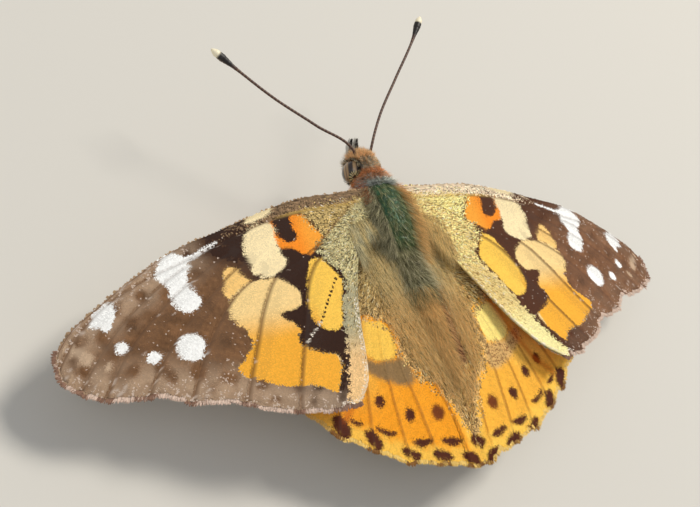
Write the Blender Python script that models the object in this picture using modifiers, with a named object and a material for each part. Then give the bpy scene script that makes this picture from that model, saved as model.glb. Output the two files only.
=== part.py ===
"""Painted lady butterfly, Vanessa cardui, basking with its wings spread.

The insect stands on the feet of its four walking legs, which rest on the floor at z = 0.
+Y points from the tail to the head, +X to the insect's right and +Z up.
The origin is under the middle of the whole insect.
Sizes below are in millimetres, in a working frame whose x = 0 is the insect's plane of symmetry
and whose y = 0 is level with the front of the forewing hinges. The last step turns them into metres.
"""

import math

import bmesh
import bpy
import numpy as np

MM = 0.001
GAP = 0.3
COLLECTION_NAME = "painted_lady"

# Wings: thickness, number of rows from root to margin, and the relief of the veins.
WING_THICKNESS = 0.5
VEIN_THICKNESS = 0.66
VEIN_HALF_WIDTH = 0.22
FORE_ROWS = 16
HIND_ROWS = 14
ROOT_FADE = 0.12

# Height of the forewing's middle surface, as a quadratic in x (outwards) and y (forwards).
FORE_HINGE_Z = 8.5
FORE_RISE = (0.10, 0.125)
FORE_BEND = (-0.005, 0.006, 0.010)

# Height of the hindwing's middle surface: level near the body, sloping down behind HIND_BREAK_Y.
HIND_HINGE_Z = 7.7
HIND_FALL_OUT = 0.055
HIND_FALL_BACK = 0.155
HIND_BREAK_Y = -13.5
HIND_BREAK_SPAN = 2.0
ANAL_FOLD_DEPTH = 0.7
ANAL_FOLD_WIDTH = 1.3
ANAL_FOLD_START_Y = -16.5

# Veins and edges of the right forewing from the front edge to the inner edge, as (x, y) from root
# to margin. The last two numbers are the share of the way out at which the vein starts to stand
# proud, and how far the margin is drawn in half way to the next vein, or bulges if negative.
FOREWING_LINES = (
    ("costa", ((1.4, 0.4), (4.3, 0.1), (8.5, -0.15), (12.6, -1.0), (16.3, -2.0), (20.2, -2.95),
               (23.6, -4.4), (26.8, -6.05), (28.9, -7.3), (30.1, -8.6)), 0.0, -0.12),
    ("radius", ((1.4, -0.3), (3.9, -0.9), (7.0, -1.1), (10.0, -1.4), (13.0, -2.0), (16.5, -3.0),
                (20.0, -4.0), (23.4, -4.9), (26.3, -6.1), (28.6, -7.8), (30.35, -9.9)), 0.0, -0.2),
    ("radius_5", ((1.4, -0.6), (4.1, -1.3), (7.6, -1.6), (11.0, -2.0), (14.0, -2.6), (17.5, -3.6),
                  (20.7, -4.8), (23.9, -6.6), (26.8, -8.9), (29.3, -11.7)), 0.60, 0.05),
    ("media_1", ((1.4, -0.8), (4.2, -1.6), (8.0, -2.0), (12.0, -2.6), (14.8, -3.3), (18.8, -5.1),
                 (22.3, -7.1), (25.4, -9.6), (27.9, -12.7)), 0.50, 0.1),
    ("media_2", ((1.4, -1.1), (4.2, -2.0), (8.0, -2.8), (12.0, -3.9), (15.1, -4.8), (17.5, -6.2),
                 (20.0, -8.0), (22.8, -10.4), (25.1, -13.3)), 0.52, 0.35),
    ("media_3", ((1.4, -1.4), (4.3, -2.4), (8.0, -3.5), (12.0, -5.2), (15.1, -6.4), (17.0, -7.6),
                 (19.0, -9.6), (20.7, -11.8), (22.4, -14.6)), 0.52, 0.3),
    ("cubitus_1", ((1.4, -1.7), (4.4, -2.8), (8.2, -4.2), (10.4, -5.3), (12.8, -6.3),
                   (14.7, -8.6), (16.2, -11.2), (17.6, -13.6), (18.8, -15.8)), 0.0, 0.15),
    ("cubitus_2", ((1.4, -2.0), (4.4, -3.2), (7.4, -4.6), (9.4, -6.0), (10.6, -7.6),
                   (11.5, -9.6), (12.8, -12.2), (14.2, -14.9), (15.4, -17.5)), 0.32, 0.15),
    ("anal", ((1.4, -2.3), (3.6, -3.2), (5.2, -5.4), (7.0, -8.3), (8.5, -11.1), (9.8, -13.6),
              (11.1, -16.0), (12.3, -18.0)), 0.0, 0.0),
    ("inner_edge", ((1.4, -2.6), (3.1, -3.0), (4.2, -4.9), (5.3, -7.1), (6.2, -9.2),
                    (7.1, -11.7), (8.0, -14.2), (9.1, -16.3), (10.7, -17.8)), 0.0, 0.0),
)

# The same for the right hindwing.
HINDWING_LINES = (
    ("costa", ((1.4, -2.9), (5.3, -3.7), (9.4, -6.1), (12.9, -9.6), (14.8, -12.6),
               (15.2, -14.6)), 0.0, 0.0),
    ("radial_sector", ((1.4, -3.3), (5.8, -5.6), (9.9, -9.3), (12.9, -13.3), (14.3, -16.4)), 0.0, 0.2),
    ("media_1", ((1.4, -3.7), (5.2, -7.0), (8.3, -11.3), (10.4, -15.3), (11.9, -19.3)), 0.34, 0.3),
    ("media_2", ((1.4, -4.1), (4.7, -7.9), (7.0, -12.3), (8.4, -16.9), (9.4, -20.9)), 0.34, 0.3),
    ("media_3", ((1.4, -4.5), (4.1, -8.6), (5.6, -13.0), (6.3, -17.8), (6.5, -22.6)), 0.34, 0.3),
    ("cubitus_1", ((1.4, -4.8), (3.5, -9.2), (4.5, -13.8), (4.3, -18.3), (4.0, -23.2)), 0.0, 0.3),
    ("cubitus_2", ((1.4, -5.1), (2.9, -9.4), (3.1, -13.4), (2.0, -17.4), (1.4, -20.4),
                   (1.3, -24.1)), 0.34, 0.1),
    ("inner_edge", ((1.4, -5.4), (2.05, -9.2), (2.05, -12.8), (1.6, -16.0), (0.5, -18.3),
                    (0.28, -20.6), (0.25, -24.2)), 0.0, 0.0),
)

# How much wear has taken off each side's margin at the ends of the lines above, and how far each
# side's inner edge swings out half way along, for the two forewings aren't spread quite alike.
FORE_WEAR = {
    "left": (0.0, 0.0, 0.0, 0.0, 0.0, 0.0, 0.0, 0.0, 0.0, 0.0),
    "right": (0.0, 0.0, 0.5, 1.0, 1.2, 0.8, 1.0, 0.5, 0.3, 0.1),
}
FORE_INNER_SWING = {"left": 0.5, "right": -0.4}
HIND_WEAR = {
    "left": (0.0, 0.0, 0.0, 0.0, 0.0, 0.0, 0.0, 0.0),
    "right": (0.0, 0.0, 0.1, 0.0, 0.1, 0.1, 0.1, 0.0),
}

# The body's parts from head to tail, as (y, height of the middle, half width, half height).
HEAD_STATIONS = ((2.42, 7.75, 0.95, 0.95), (2.9, 7.65, 1.25, 1.2), (3.5, 7.5, 1.3, 1.3),
                 (4.1, 7.35, 1.15, 1.15), (4.5, 7.2, 0.75, 0.8))
COLLAR_STATIONS = ((1.5, 7.75, 1.45, 1.25), (1.8, 7.75, 1.35, 1.2), (2.12, 7.7, 1.15, 1.05))
THORAX_STATIONS = ((1.2, 7.7, 1.55, 1.35), (0.5, 7.65, 1.95, 1.75), (-0.6, 7.6, 2.2, 2.05),
                   (-2.2, 7.55, 2.25, 2.1), (-3.8, 7.5, 2.1, 2.0), (-5.0, 7.4, 1.8, 1.75),
                   (-5.9, 7.3, 1.45, 1.5))
ABDOMEN_STATIONS = ((-6.2, 7.35, 1.3, 1.35), (-7.5, 7.15, 1.55, 1.5), (-9.5, 7.0, 1.65, 1.6),
                    (-12.0, 6.9, 1.5, 1.5), (-14.5, 6.85, 1.15, 1.2), (-16.2, 6.9, 0.8, 0.85),
                    (-17.1, 6.95, 0.45, 0.5))
ABDOMEN_SEGMENTS = 8
SEGMENT_GROOVE = 0.06
BODY_SIDES = 20

EYE_CENTRE = (1.0, 3.1, 7.3)
EYE_RADII = (0.85, 0.95, 1.1)
EYE_INNER_X = 0.75

# Antennae, one path for each side because they point apart, and the club at their tips.
ANTENNA_PATHS = {
    "left": ((-0.6, 3.7, 8.1), (-0.95, 4.4, 8.55), (-4.0, 6.9, 9.05), (-7.35, 9.55, 9.55),
             (-10.5, 12.35, 10.3), (-12.1, 13.8, 10.7)),
    "right": ((0.6, 3.7, 8.1), (0.85, 4.4, 8.6), (2.6, 7.25, 9.6), (5.05, 10.25, 10.8),
              (7.95, 13.75, 12.3), (9.3, 15.7, 13.0)),
}
ANTENNA_RADIUS = 0.25
CLUB_RADIUS = 0.42
CLUB_SHARE = 0.14

# Palps in front of the face, and the coiled tongue behind them.
PALP_STATIONS = ((0.45, 3.8, 6.95, 0.25), (0.46, 4.7, 6.9, 0.3), (0.5, 5.4, 7.3, 0.34),
                 (0.42, 5.95, 8.05, 0.2))
TONGUE_CENTRE = (4.1, 5.35)
TONGUE_OUTER = 0.85
TONGUE_PITCH = 0.62
TONGUE_TURNS = 1.1
TONGUE_RADIUS = 0.25

# Legs of the right side from hip to toe as (x, y, z, radius). The toes lie on the floor.
FOOT_Z = 0.2
LEG_PATHS = {
    "front": ((0.75, 0.5, 7.0, 0.4), (0.85, 1.1, 5.9, 0.36), (1.0, 1.9, 5.3, 0.3),
              (1.15, 2.4, 4.9, 0.27), (1.1, 1.5, 4.65, 0.25), (1.0, 0.3, 4.6, 0.25)),
    "middle": ((0.9, -1.2, 7.0, 0.5), (1.5, -1.3, 5.5, 0.42), (3.4, -1.0, 5.5, 0.38),
               (5.2, -0.6, 5.7, 0.3), (6.3, 0.0, 3.4, 0.28), (7.3, 0.6, 1.1, 0.26),
               (8.2, 1.0, FOOT_Z, 0.25), (9.3, 1.4, FOOT_Z, 0.25), (10.4, 1.8, FOOT_Z, 0.25)),
    "hind": ((0.9, -3.9, 7.0, 0.5), (1.4, -4.3, 5.5, 0.42), (2.8, -5.7, 5.3, 0.38),
             (4.2, -7.1, 5.3, 0.3), (4.8, -8.4, 3.1, 0.28), (5.4, -9.7, 1.1, 0.26),
             (6.0, -10.9, FOOT_Z, 0.25), (6.6, -12.2, FOOT_Z, 0.25), (7.1, -13.5, FOOT_Z, 0.25)),
}

COLOURS = {
    "wing": (0.75, 0.36, 0.06),
    "body": (0.16, 0.15, 0.07),
    "head": (0.30, 0.20, 0.10),
    "eye": (0.10, 0.06, 0.04),
    "antenna": (0.05, 0.03, 0.025),
    "palp": (0.55, 0.50, 0.42),
    "tongue": (0.12, 0.06, 0.03),
    "leg": (0.42, 0.33, 0.22),
}

SIDE_SIGN = {"left": -1.0, "right": 1.0}


def clear_scene():
    for obj in list(bpy.data.objects):
        bpy.data.objects.remove(obj)


def new_collection(name):
    collection = bpy.data.collections.new(name)
    bpy.context.scene.collection.children.link(collection)
    return collection


def make_material(name, colour, roughness=0.6):
    material = bpy.data.materials.new(name)
    material.use_nodes = True
    shader = material.node_tree.nodes["Principled BSDF"]
    shader.inputs["Base Color"].default_value = (*colour, 1.0)
    shader.inputs["Roughness"].default_value = roughness
    shader.inputs["Metallic"].default_value = 0.0
    return material


def add_object(name, mesh, collection, material=None):
    obj = bpy.data.objects.new(name, mesh)
    collection.objects.link(obj)
    if material is not None:
        mesh.materials.append(material)
    mesh.shade_smooth()
    return obj


def smooth_curve(points, shares):
    """Points at these shares of the way along a smooth curve through the given points.

    The curve is a cubic Hermite spline over the chord lengths, with each tangent taken from
    the two neighbouring points.
    """
    points = np.asarray(points, float)
    steps = np.linalg.norm(np.diff(points, axis=0), axis=1)
    knots = np.concatenate([[0.0], np.cumsum(steps)])
    tangents = np.gradient(points, knots, axis=0)
    where = np.asarray(shares, float) * knots[-1]
    index = np.clip(np.searchsorted(knots, where, side="right") - 1, 0, len(points) - 2)
    span = steps[index][:, None]
    t = ((where - knots[index]) / steps[index])[:, None]
    start, end = points[index], points[index + 1]
    start_tangent, end_tangent = tangents[index] * span, tangents[index + 1] * span
    return (
        (2 * t**3 - 3 * t**2 + 1) * start
        + (t**3 - 2 * t**2 + t) * start_tangent
        + (3 * t**2 - 2 * t**3) * end
        + (t**3 - t**2) * end_tangent
    )


def forewing_height(x, y):
    """Height of the forewing's middle surface over (x, y), with x measured outwards."""
    slope = FORE_RISE[0] * x + FORE_RISE[1] * y
    bend = FORE_BEND[0] * x * x + FORE_BEND[1] * x * y + FORE_BEND[2] * y * y
    return FORE_HINGE_Z + slope + bend


def hindwing_height(x, y):
    """Height of the hindwing's middle surface, with the fold along its inner edge."""
    behind = HIND_BREAK_SPAN * np.log1p(np.exp((HIND_BREAK_Y - y) / HIND_BREAK_SPAN))
    plain = HIND_HINGE_Z - HIND_FALL_OUT * x - HIND_FALL_BACK * behind
    near = np.clip(1 - x / ANAL_FOLD_WIDTH, 0, 1) ** 2
    past_tail = np.clip((ANAL_FOLD_START_Y - y) / 2.0, 0, 1)
    return plain - ANAL_FOLD_DEPTH * near * past_tail


def wing_columns(lines, wear, rows):
    """The wing's grid as (column, row, xy) and the vein relief, from 0 to 1, at each point.

    Each space between two lines gets its line, one column close to each line and one halfway.
    The margin is drawn in by each line's wear, and between two lines by the first one's scallop.
    """
    shares = np.linspace(0.0, 1.0, rows)
    columns, relief = [], []
    for number, ((_, points, proud_from, drawn_in), following) in enumerate(zip(lines, lines[1:])):
        next_points = following[1]
        length = math.dist(points[0], points[-1])
        spacing = np.linalg.norm(smooth_curve(next_points, shares) - smooth_curve(points, shares), axis=1)
        near = np.clip(VEIN_HALF_WIDTH / np.maximum(spacing, 1e-6), 0.0, 0.33)
        for kind in ("line", "after", "middle", "before"):
            across = {"line": 0 * near, "after": near, "middle": 0 * near + 0.5, "before": 1 - near}[kind]
            trim = wear[number] * (1 - across) + wear[number + 1] * across
            dip = drawn_in * 4 * across * (1 - across)
            reach = shares * (1 - (trim + dip) / length)
            here = smooth_curve(points, reach)
            there = smooth_curve(next_points, reach)
            columns.append(here * (1 - across[:, None]) + there * across[:, None])
            ramp = np.clip((shares - max(proud_from, ROOT_FADE)) / 0.08, 0, 1)
            relief.append(ramp if kind == "line" else 0 * ramp)
    last = lines[-1][1]
    columns.append(smooth_curve(last, shares * (1 - wear[-1] / math.dist(last[0], last[-1]))))
    relief.append(0 * shares)
    return np.array(columns), np.array(relief)


def forewing_lines(side):
    """The forewing's lines, with the inner edge swung out by this side's amount."""
    *others, (name, points, proud_from, drawn_in) = FOREWING_LINES
    swing = FORE_INNER_SWING[side] * np.sin(np.linspace(0, np.pi, len(points)))
    swung = [(x + out, y) for (x, y), out in zip(points, swing)]
    return [*others, (name, swung, proud_from, drawn_in)]


def wing_sheet(name, lines, wear, rows, height, sign, collection, material):
    """A wing: its middle surface split into triangles, thickened alike on both faces."""
    grid, relief = wing_columns(lines, wear, rows)
    x, y = grid[..., 0], grid[..., 1]
    points = np.stack([sign * x, y, height(x, y)], axis=-1).reshape(-1, 3) * MM
    count = len(grid)
    corner = (np.arange(count - 1)[:, None] * rows + np.arange(rows - 1)[None, :]).ravel()
    quads = np.stack([corner, corner + 1, corner + rows + 1, corner + rows], axis=1)
    if sign < 0:
        quads = quads[:, ::-1]
    faces = np.concatenate([quads[:, [0, 1, 2]], quads[:, [0, 2, 3]]])
    mesh = bpy.data.meshes.new(name)
    mesh.from_pydata(points.tolist(), [], faces.tolist())
    wing = add_object(name, mesh, collection, material)
    group = wing.vertex_groups.new(name="relief")
    thin = WING_THICKNESS / VEIN_THICKNESS
    for vertex, share in enumerate(relief.ravel().tolist()):
        group.add([vertex], thin + (1 - thin) * share, "REPLACE")
    solidify = wing.modifiers.new("thickness", "SOLIDIFY")
    solidify.thickness = VEIN_THICKNESS * MM
    solidify.offset = 0.0
    solidify.vertex_group = "relief"
    solidify.use_even_offset = False
    return wing


def ring_mesh(name, rings):
    """A closed mesh through rings of points that all have the same count, with fanned ends."""
    rings = np.asarray(rings, float) * MM
    count, sides = rings.shape[:2]
    points = np.concatenate([rings.reshape(-1, 3), [rings[0].mean(axis=0)], [rings[-1].mean(axis=0)]])
    row = np.arange(count - 1)[:, None] * sides
    column = np.arange(sides)[None, :]
    following = (column + 1) % sides
    quads = np.stack([row + column, row + following, row + sides + following, row + sides + column], -1)
    quads = quads.reshape(-1, 4)
    side = np.arange(sides)
    after = (side + 1) % sides
    first = np.stack([np.full(sides, count * sides), after, side], 1)
    base = (count - 1) * sides
    last = np.stack([np.full(sides, count * sides + 1), base + side, base + after], 1)
    mesh = bpy.data.meshes.new(name)
    mesh.from_pydata(points.tolist(), [], quads.tolist() + first.tolist() + last.tolist())
    shape = bmesh.new()
    shape.from_mesh(mesh)
    bmesh.ops.recalc_face_normals(shape, faces=shape.faces)
    shape.to_mesh(mesh)
    shape.free()
    return mesh


def body_rings(stations, count, grow=0.0, grooves=0):
    """Elliptical rings along Y through the stations, grown outwards, with segment grooves."""
    shares = np.linspace(0.0, 1.0, count)
    smooth = smooth_curve(stations, shares)
    if grow:
        front, back = smooth[0].copy(), smooth[-1].copy()
        direction = math.copysign(grow, smooth[0][0] - smooth[-1][0])
        front[0] += direction
        back[0] -= direction
        smooth = np.vstack([front, smooth, back])
        shares = np.concatenate([[0.0], shares, [1.0]])
    squeeze = 1 - SEGMENT_GROOVE * np.cos(np.pi * shares * grooves) ** 16 * (grooves > 0)
    around = np.linspace(0, 2 * np.pi, BODY_SIDES, endpoint=False)
    width = (smooth[:, 2] * squeeze + grow)[:, None] * np.cos(around)
    height = (smooth[:, 3] * squeeze + grow)[:, None] * np.sin(around) + smooth[:, 1][:, None]
    along = np.repeat(smooth[:, 0][:, None], BODY_SIDES, axis=1)
    return np.stack([width, along, height], axis=-1)


def eye_rings(sign, grow=0.0):
    """Rings of the domed eye from its flat inner face out to its pole."""
    radii = np.asarray(EYE_RADII) + grow
    inner = math.acos((EYE_INNER_X - grow - EYE_CENTRE[0]) / radii[0])
    around = np.linspace(0, 2 * np.pi, 20, endpoint=False)
    polar = np.linspace(inner, 0.12, 8)[:, None]
    x = sign * (EYE_CENTRE[0] + radii[0] * np.cos(polar) + 0 * around)
    y = EYE_CENTRE[1] + radii[1] * np.sin(polar) * np.cos(around)
    z = EYE_CENTRE[2] + radii[2] * np.sin(polar) * np.sin(around)
    return np.stack([x, y, z], axis=-1)


def tube(name, line, radii, collection, material):
    """A round tube along a line of points, with a radius at each point and closed ends."""
    curve = bpy.data.curves.new(name, "CURVE")
    curve.dimensions = "3D"
    spline = curve.splines.new("POLY")
    spline.points.add(len(line) - 1)
    for point, place, width in zip(spline.points, line, radii):
        point.co = (*(place * MM), 1.0)
        point.radius = width
    curve.bevel_depth = MM
    curve.bevel_resolution = 2
    curve.use_fill_caps = True
    holder = bpy.data.objects.new(name, curve)
    bpy.context.scene.collection.objects.link(holder)
    bpy.context.view_layer.update()
    evaluated = holder.evaluated_get(bpy.context.evaluated_depsgraph_get())
    mesh = bpy.data.meshes.new_from_object(evaluated)
    bpy.data.objects.remove(holder)
    shape = bmesh.new()
    shape.from_mesh(mesh)
    bmesh.ops.remove_doubles(shape, verts=shape.verts, dist=0.00001)
    bmesh.ops.recalc_face_normals(shape, faces=shape.faces)
    shape.to_mesh(mesh)
    shape.free()
    mesh.name = name
    mesh.materials.clear()
    return add_object(name, mesh, collection, material)


def box_cutter(name, low, high, collection):
    """A closed box between two corners."""
    mesh = bpy.data.meshes.new(name)
    shape = bmesh.new()
    bmesh.ops.create_cube(shape, size=1.0)
    low, high = np.asarray(low, float), np.asarray(high, float)
    for vertex in shape.verts:
        vertex.co = (low + (np.asarray(vertex.co) + 0.5) * (high - low)) * MM
    shape.to_mesh(mesh)
    shape.free()
    return add_object(name, mesh, collection)


def cut(obj, *cutters):
    for cutter in cutters:
        modifier = obj.modifiers.new("clear_of_" + cutter.name, "BOOLEAN")
        modifier.operation = "DIFFERENCE"
        modifier.object = cutter
        modifier.solver = "EXACT"


def hide_cutters(collection):
    for obj in collection.objects:
        obj.hide_render = True
        obj.display_type = "WIRE"


def make_body(parts, cutters, materials):
    """Head, collar, thorax and abdomen, with the grown copies that keep their neighbours clear."""
    head = add_object("head", ring_mesh("head", body_rings(HEAD_STATIONS, 10)), parts, materials["head"])
    add_object("collar", ring_mesh("collar", body_rings(COLLAR_STATIONS, 4)), parts, materials["head"])
    add_object("thorax", ring_mesh("thorax", body_rings(THORAX_STATIONS, 15)), parts, materials["body"])
    rings = body_rings(ABDOMEN_STATIONS, 31, grooves=ABDOMEN_SEGMENTS)
    add_object("abdomen", ring_mesh("abdomen", rings), parts, materials["body"])
    clear = {}
    for name, stations, count in (("head", HEAD_STATIONS, 10), ("thorax", THORAX_STATIONS, 15),
                                  ("abdomen", ABDOMEN_STATIONS, 12)):
        mesh = ring_mesh(name + "_clearance", body_rings(stations, count, grow=GAP))
        clear[name] = add_object(name + "_clearance", mesh, cutters)
    for side, sign in SIDE_SIGN.items():
        add_object("eye_" + side, ring_mesh("eye_" + side, eye_rings(sign)), parts, materials["eye"])
        socket = ring_mesh("socket_" + side, eye_rings(sign, grow=GAP))
        cut(head, add_object("socket_" + side, socket, cutters))
    return clear


def make_face(parts, clear, materials):
    """Antennae, palps and the coiled tongue."""
    shares = np.linspace(0, 1, 32)
    club_start = 1 - CLUB_SHARE
    stops = (0, club_start - 0.06, club_start + 0.03, 0.96, 1.0)
    widths = (ANTENNA_RADIUS, ANTENNA_RADIUS, CLUB_RADIUS, CLUB_RADIUS, 0.22)
    radii = np.interp(shares, stops, widths)
    for side, sign in SIDE_SIGN.items():
        line = smooth_curve(ANTENNA_PATHS[side], shares)
        antenna = tube("antenna_" + side, line, radii, parts, materials["antenna"])
        cut(antenna, clear["head"])
        palp_line = smooth_curve(PALP_STATIONS, np.linspace(0, 1, 12)) * (sign, 1, 1, 1)
        palp = tube("palp_" + side, palp_line[:, :3], palp_line[:, 3], parts, materials["palp"])
        cut(palp, clear["head"])
    turns = np.linspace(0, TONGUE_TURNS, 26)
    radius = TONGUE_OUTER - TONGUE_PITCH * turns
    angle = math.radians(80) - 2 * np.pi * turns
    y = TONGUE_CENTRE[0] + radius * np.cos(angle)
    z = TONGUE_CENTRE[1] + radius * np.sin(angle)
    line = np.stack([0 * y, y, z], axis=1)
    tongue = tube("proboscis", line, TONGUE_RADIUS + 0 * turns, parts, materials["tongue"])
    cut(tongue, clear["head"])


def make_wings(parts, clear, materials):
    for side, sign in SIDE_SIGN.items():
        fore = wing_sheet("forewing_" + side, forewing_lines(side), FORE_WEAR[side], FORE_ROWS,
                          forewing_height, sign, parts, materials["wing"])
        hind = wing_sheet("hindwing_" + side, HINDWING_LINES, HIND_WEAR[side], HIND_ROWS,
                          hindwing_height, sign, parts, materials["wing"])
        cut(fore, clear["thorax"])
        cut(hind, clear["thorax"], clear["abdomen"])


def make_legs(parts, cutters, clear, materials):
    floor = box_cutter("floor_level", (-20, -20, -3), (20, 20, 0), cutters)
    for side, sign in SIDE_SIGN.items():
        for pair, stations in LEG_PATHS.items():
            line = smooth_curve(stations, np.linspace(0, 1, 26)) * (sign, 1, 1, 1)
            leg = tube("leg_" + pair + "_" + side, line[:, :3], line[:, 3], parts, materials["leg"])
            cut(leg, clear["thorax"])
            if pair != "front":
                cut(leg, floor)


def centre_on_floor(parts, cutters):
    """Moves everything so that the origin is under the middle of the whole insect."""
    bpy.context.view_layer.update()
    graph = bpy.context.evaluated_depsgraph_get()
    lows, highs = [], []
    for obj in parts.objects:
        corners = np.array([tuple(corner) for corner in obj.evaluated_get(graph).bound_box])
        lows.append(corners.min(axis=0))
        highs.append(corners.max(axis=0))
    low, high = np.min(lows, axis=0), np.max(highs, axis=0)
    shift = (0.0, -(low[1] + high[1]) / 2, 0.0)
    for obj in list(parts.objects) + list(cutters.objects):
        obj.location = shift


def main():
    clear_scene()
    parts = new_collection(COLLECTION_NAME)
    cutters = new_collection("clearances")
    materials = {name: make_material(name, colour) for name, colour in COLOURS.items()}
    clear = make_body(parts, cutters, materials)
    make_face(parts, clear, materials)
    make_wings(parts, clear, materials)
    make_legs(parts, cutters, clear, materials)
    hide_cutters(cutters)
    centre_on_floor(parts, cutters)


main()
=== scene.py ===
"""Painted lady butterfly: the finish of every surface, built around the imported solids.

Shapes are worked out in millimetres in the insect's own frame: x = 0 is its plane of symmetry, +Y
points to the head, y = 0 is level with the front of the forewing hinges and z = 0 is the floor.
place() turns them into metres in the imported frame. Wing marks are given on the right wing, with x
measured outwards, and the left wing mirrors them.
"""

import math

import bpy
import numpy as np
from bpy.props import FloatProperty, FloatVectorProperty
from mathutils import Matrix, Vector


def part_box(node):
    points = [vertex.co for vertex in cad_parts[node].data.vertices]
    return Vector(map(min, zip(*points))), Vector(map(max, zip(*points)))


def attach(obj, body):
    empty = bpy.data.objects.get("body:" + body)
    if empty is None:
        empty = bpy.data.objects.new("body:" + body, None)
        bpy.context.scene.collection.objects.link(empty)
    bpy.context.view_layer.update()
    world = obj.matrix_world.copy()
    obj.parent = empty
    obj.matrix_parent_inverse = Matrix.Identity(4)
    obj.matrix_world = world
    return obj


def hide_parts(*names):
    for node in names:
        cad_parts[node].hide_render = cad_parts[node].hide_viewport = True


bl_info = {
    "name": "Painted lady butterfly",
    "version": (1, 0, 0),
    "blender": (4, 5, 0),
    "location": "View3D > Sidebar > Butterfly",
    "description": "Builds the wings, scales, hair, eyes and limbs of a painted lady",
    "category": "Object",
}

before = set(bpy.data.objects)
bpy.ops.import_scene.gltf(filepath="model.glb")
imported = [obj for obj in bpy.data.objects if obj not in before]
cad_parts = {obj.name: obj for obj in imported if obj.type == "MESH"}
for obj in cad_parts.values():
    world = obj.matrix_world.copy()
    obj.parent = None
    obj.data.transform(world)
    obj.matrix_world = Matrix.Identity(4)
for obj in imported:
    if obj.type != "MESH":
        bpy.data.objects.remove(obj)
MM = 0.001
BODY = "root"
THORAX_FRONT_Y = 1.2
SHIFT = np.array([0.0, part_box("thorax")[1][1] / MM - THORAX_FRONT_Y, 0.0])
SIDE_SIGN = {"left": -1.0, "right": 1.0}
UP = np.array([0.0, 0.0, 1.0])

# Wing surfaces, as in the solids: height over (x, y), and the lines from root to margin with the
# share of the way out at which each vein starts and how far the margin is drawn in beyond it.
FORE_HINGE_Z = 8.5
FORE_RISE = (0.10, 0.125)
FORE_BEND = (-0.005, 0.006, 0.010)
HIND_HINGE_Z = 7.7
HIND_FALL_OUT = 0.055
HIND_FALL_BACK = 0.155
HIND_BREAK_Y = -13.5
HIND_BREAK_SPAN = 2.0
ANAL_FOLD_DEPTH = 0.35
ANAL_FOLD_WIDTH = 1.3
ANAL_FOLD_START_Y = -16.5

FOREWING_LINES = (
    ("costa", (
        (1.4, 0.4), (4.3, 0.1), (8.5, -0.15), (12.6, -1.0), (16.3, -2.0), (20.2, -2.95), (23.6, -4.4),
        (26.8, -6.05), (28.9, -7.3), (30.1, -8.6)), 0.0, -0.12),
    ("radius", (
        (1.4, -0.3), (3.9, -0.9), (7.0, -1.1), (10.0, -1.4), (13.0, -2.0), (16.5, -3.0), (20.0, -4.0),
        (23.4, -4.9), (26.3, -6.1), (28.6, -7.8), (30.35, -9.9)), 0.0, -0.2),
    ("radius_5", (
        (1.4, -0.6), (4.1, -1.3), (7.6, -1.6), (11.0, -2.0), (14.0, -2.6), (17.5, -3.6), (20.7, -4.8),
        (23.9, -6.6), (26.8, -8.9), (29.3, -11.7)), 0.60, 0.05),
    ("media_1", (
        (1.4, -0.8), (4.2, -1.6), (8.0, -2.0), (12.0, -2.6), (14.8, -3.3), (18.8, -5.1), (22.3, -7.1),
        (25.4, -9.6), (27.9, -12.7)), 0.50, 0.1),
    ("media_2", (
        (1.4, -1.1), (4.2, -2.0), (8.0, -2.8), (12.0, -3.9), (15.1, -4.8), (17.5, -6.2), (20.0, -8.0),
        (22.8, -10.4), (25.1, -13.3)), 0.52, 0.35),
    ("media_3", (
        (1.4, -1.4), (4.3, -2.4), (8.0, -3.5), (12.0, -5.2), (15.1, -6.4), (17.0, -7.6), (19.0, -9.6),
        (20.7, -11.8), (22.4, -14.6)), 0.52, 0.3),
    ("cubitus_1", (
        (1.4, -1.7), (4.4, -2.8), (8.2, -4.2), (10.4, -5.3), (12.8, -6.3), (14.7, -8.6), (16.2, -11.2),
        (17.6, -13.6), (18.8, -15.8)), 0.0, 0.15),
    ("cubitus_2", (
        (1.4, -2.0), (4.4, -3.2), (7.4, -4.6), (9.4, -6.0), (10.6, -7.6), (11.5, -9.6), (12.8, -12.2),
        (14.2, -14.9), (15.4, -17.5)), 0.32, 0.15),
    ("anal", (
        (1.4, -2.3), (3.6, -3.2), (5.2, -5.4), (7.0, -8.3), (8.5, -11.1), (9.8, -13.6), (11.1, -16.0),
        (12.3, -18.0)), 0.0, 0.0),
    ("inner_edge", (
        (1.4, -2.6), (3.1, -3.0), (4.2, -4.9), (5.3, -7.1), (6.2, -9.2), (7.1, -11.7), (8.0, -14.2),
        (9.1, -16.3), (10.7, -17.8)), 0.0, 0.0),
)
HINDWING_LINES = (
    ("costa", (
        (1.4, -2.9), (5.3, -3.7), (9.4, -6.1), (12.9, -9.6), (14.8, -12.6), (15.2, -14.6)), 0.0, 0.0),
    ("radial_sector", (
        (1.4, -3.3), (5.8, -5.6), (9.9, -9.3), (12.9, -13.3), (14.3, -16.4)), 0.0, 0.2),
    ("media_1", (
        (1.4, -3.7), (5.2, -7.0), (8.3, -11.3), (10.4, -15.3), (11.9, -19.3)), 0.34, 0.3),
    ("media_2", (
        (1.4, -4.1), (4.7, -7.9), (7.0, -12.3), (8.4, -16.9), (9.4, -20.9)), 0.34, 0.3),
    ("media_3", (
        (1.4, -4.5), (4.1, -8.6), (5.6, -13.0), (6.3, -17.8), (6.5, -22.6)), 0.34, 0.3),
    ("cubitus_1", (
        (1.4, -4.8), (3.5, -9.2), (4.5, -13.8), (4.3, -18.3), (4.0, -23.2)), 0.0, 0.3),
    ("cubitus_2", (
        (1.4, -5.1), (2.9, -9.4), (3.1, -13.4), (2.0, -17.4), (1.4, -20.4), (1.3, -24.1)), 0.34, 0.1),
    ("inner_edge", (
        (1.4, -5.4), (2.05, -9.2), (2.05, -12.8), (1.6, -16.0), (0.5, -18.3), (0.28, -20.6),
        (0.25, -24.2)), 0.0, 0.0),
)
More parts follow.
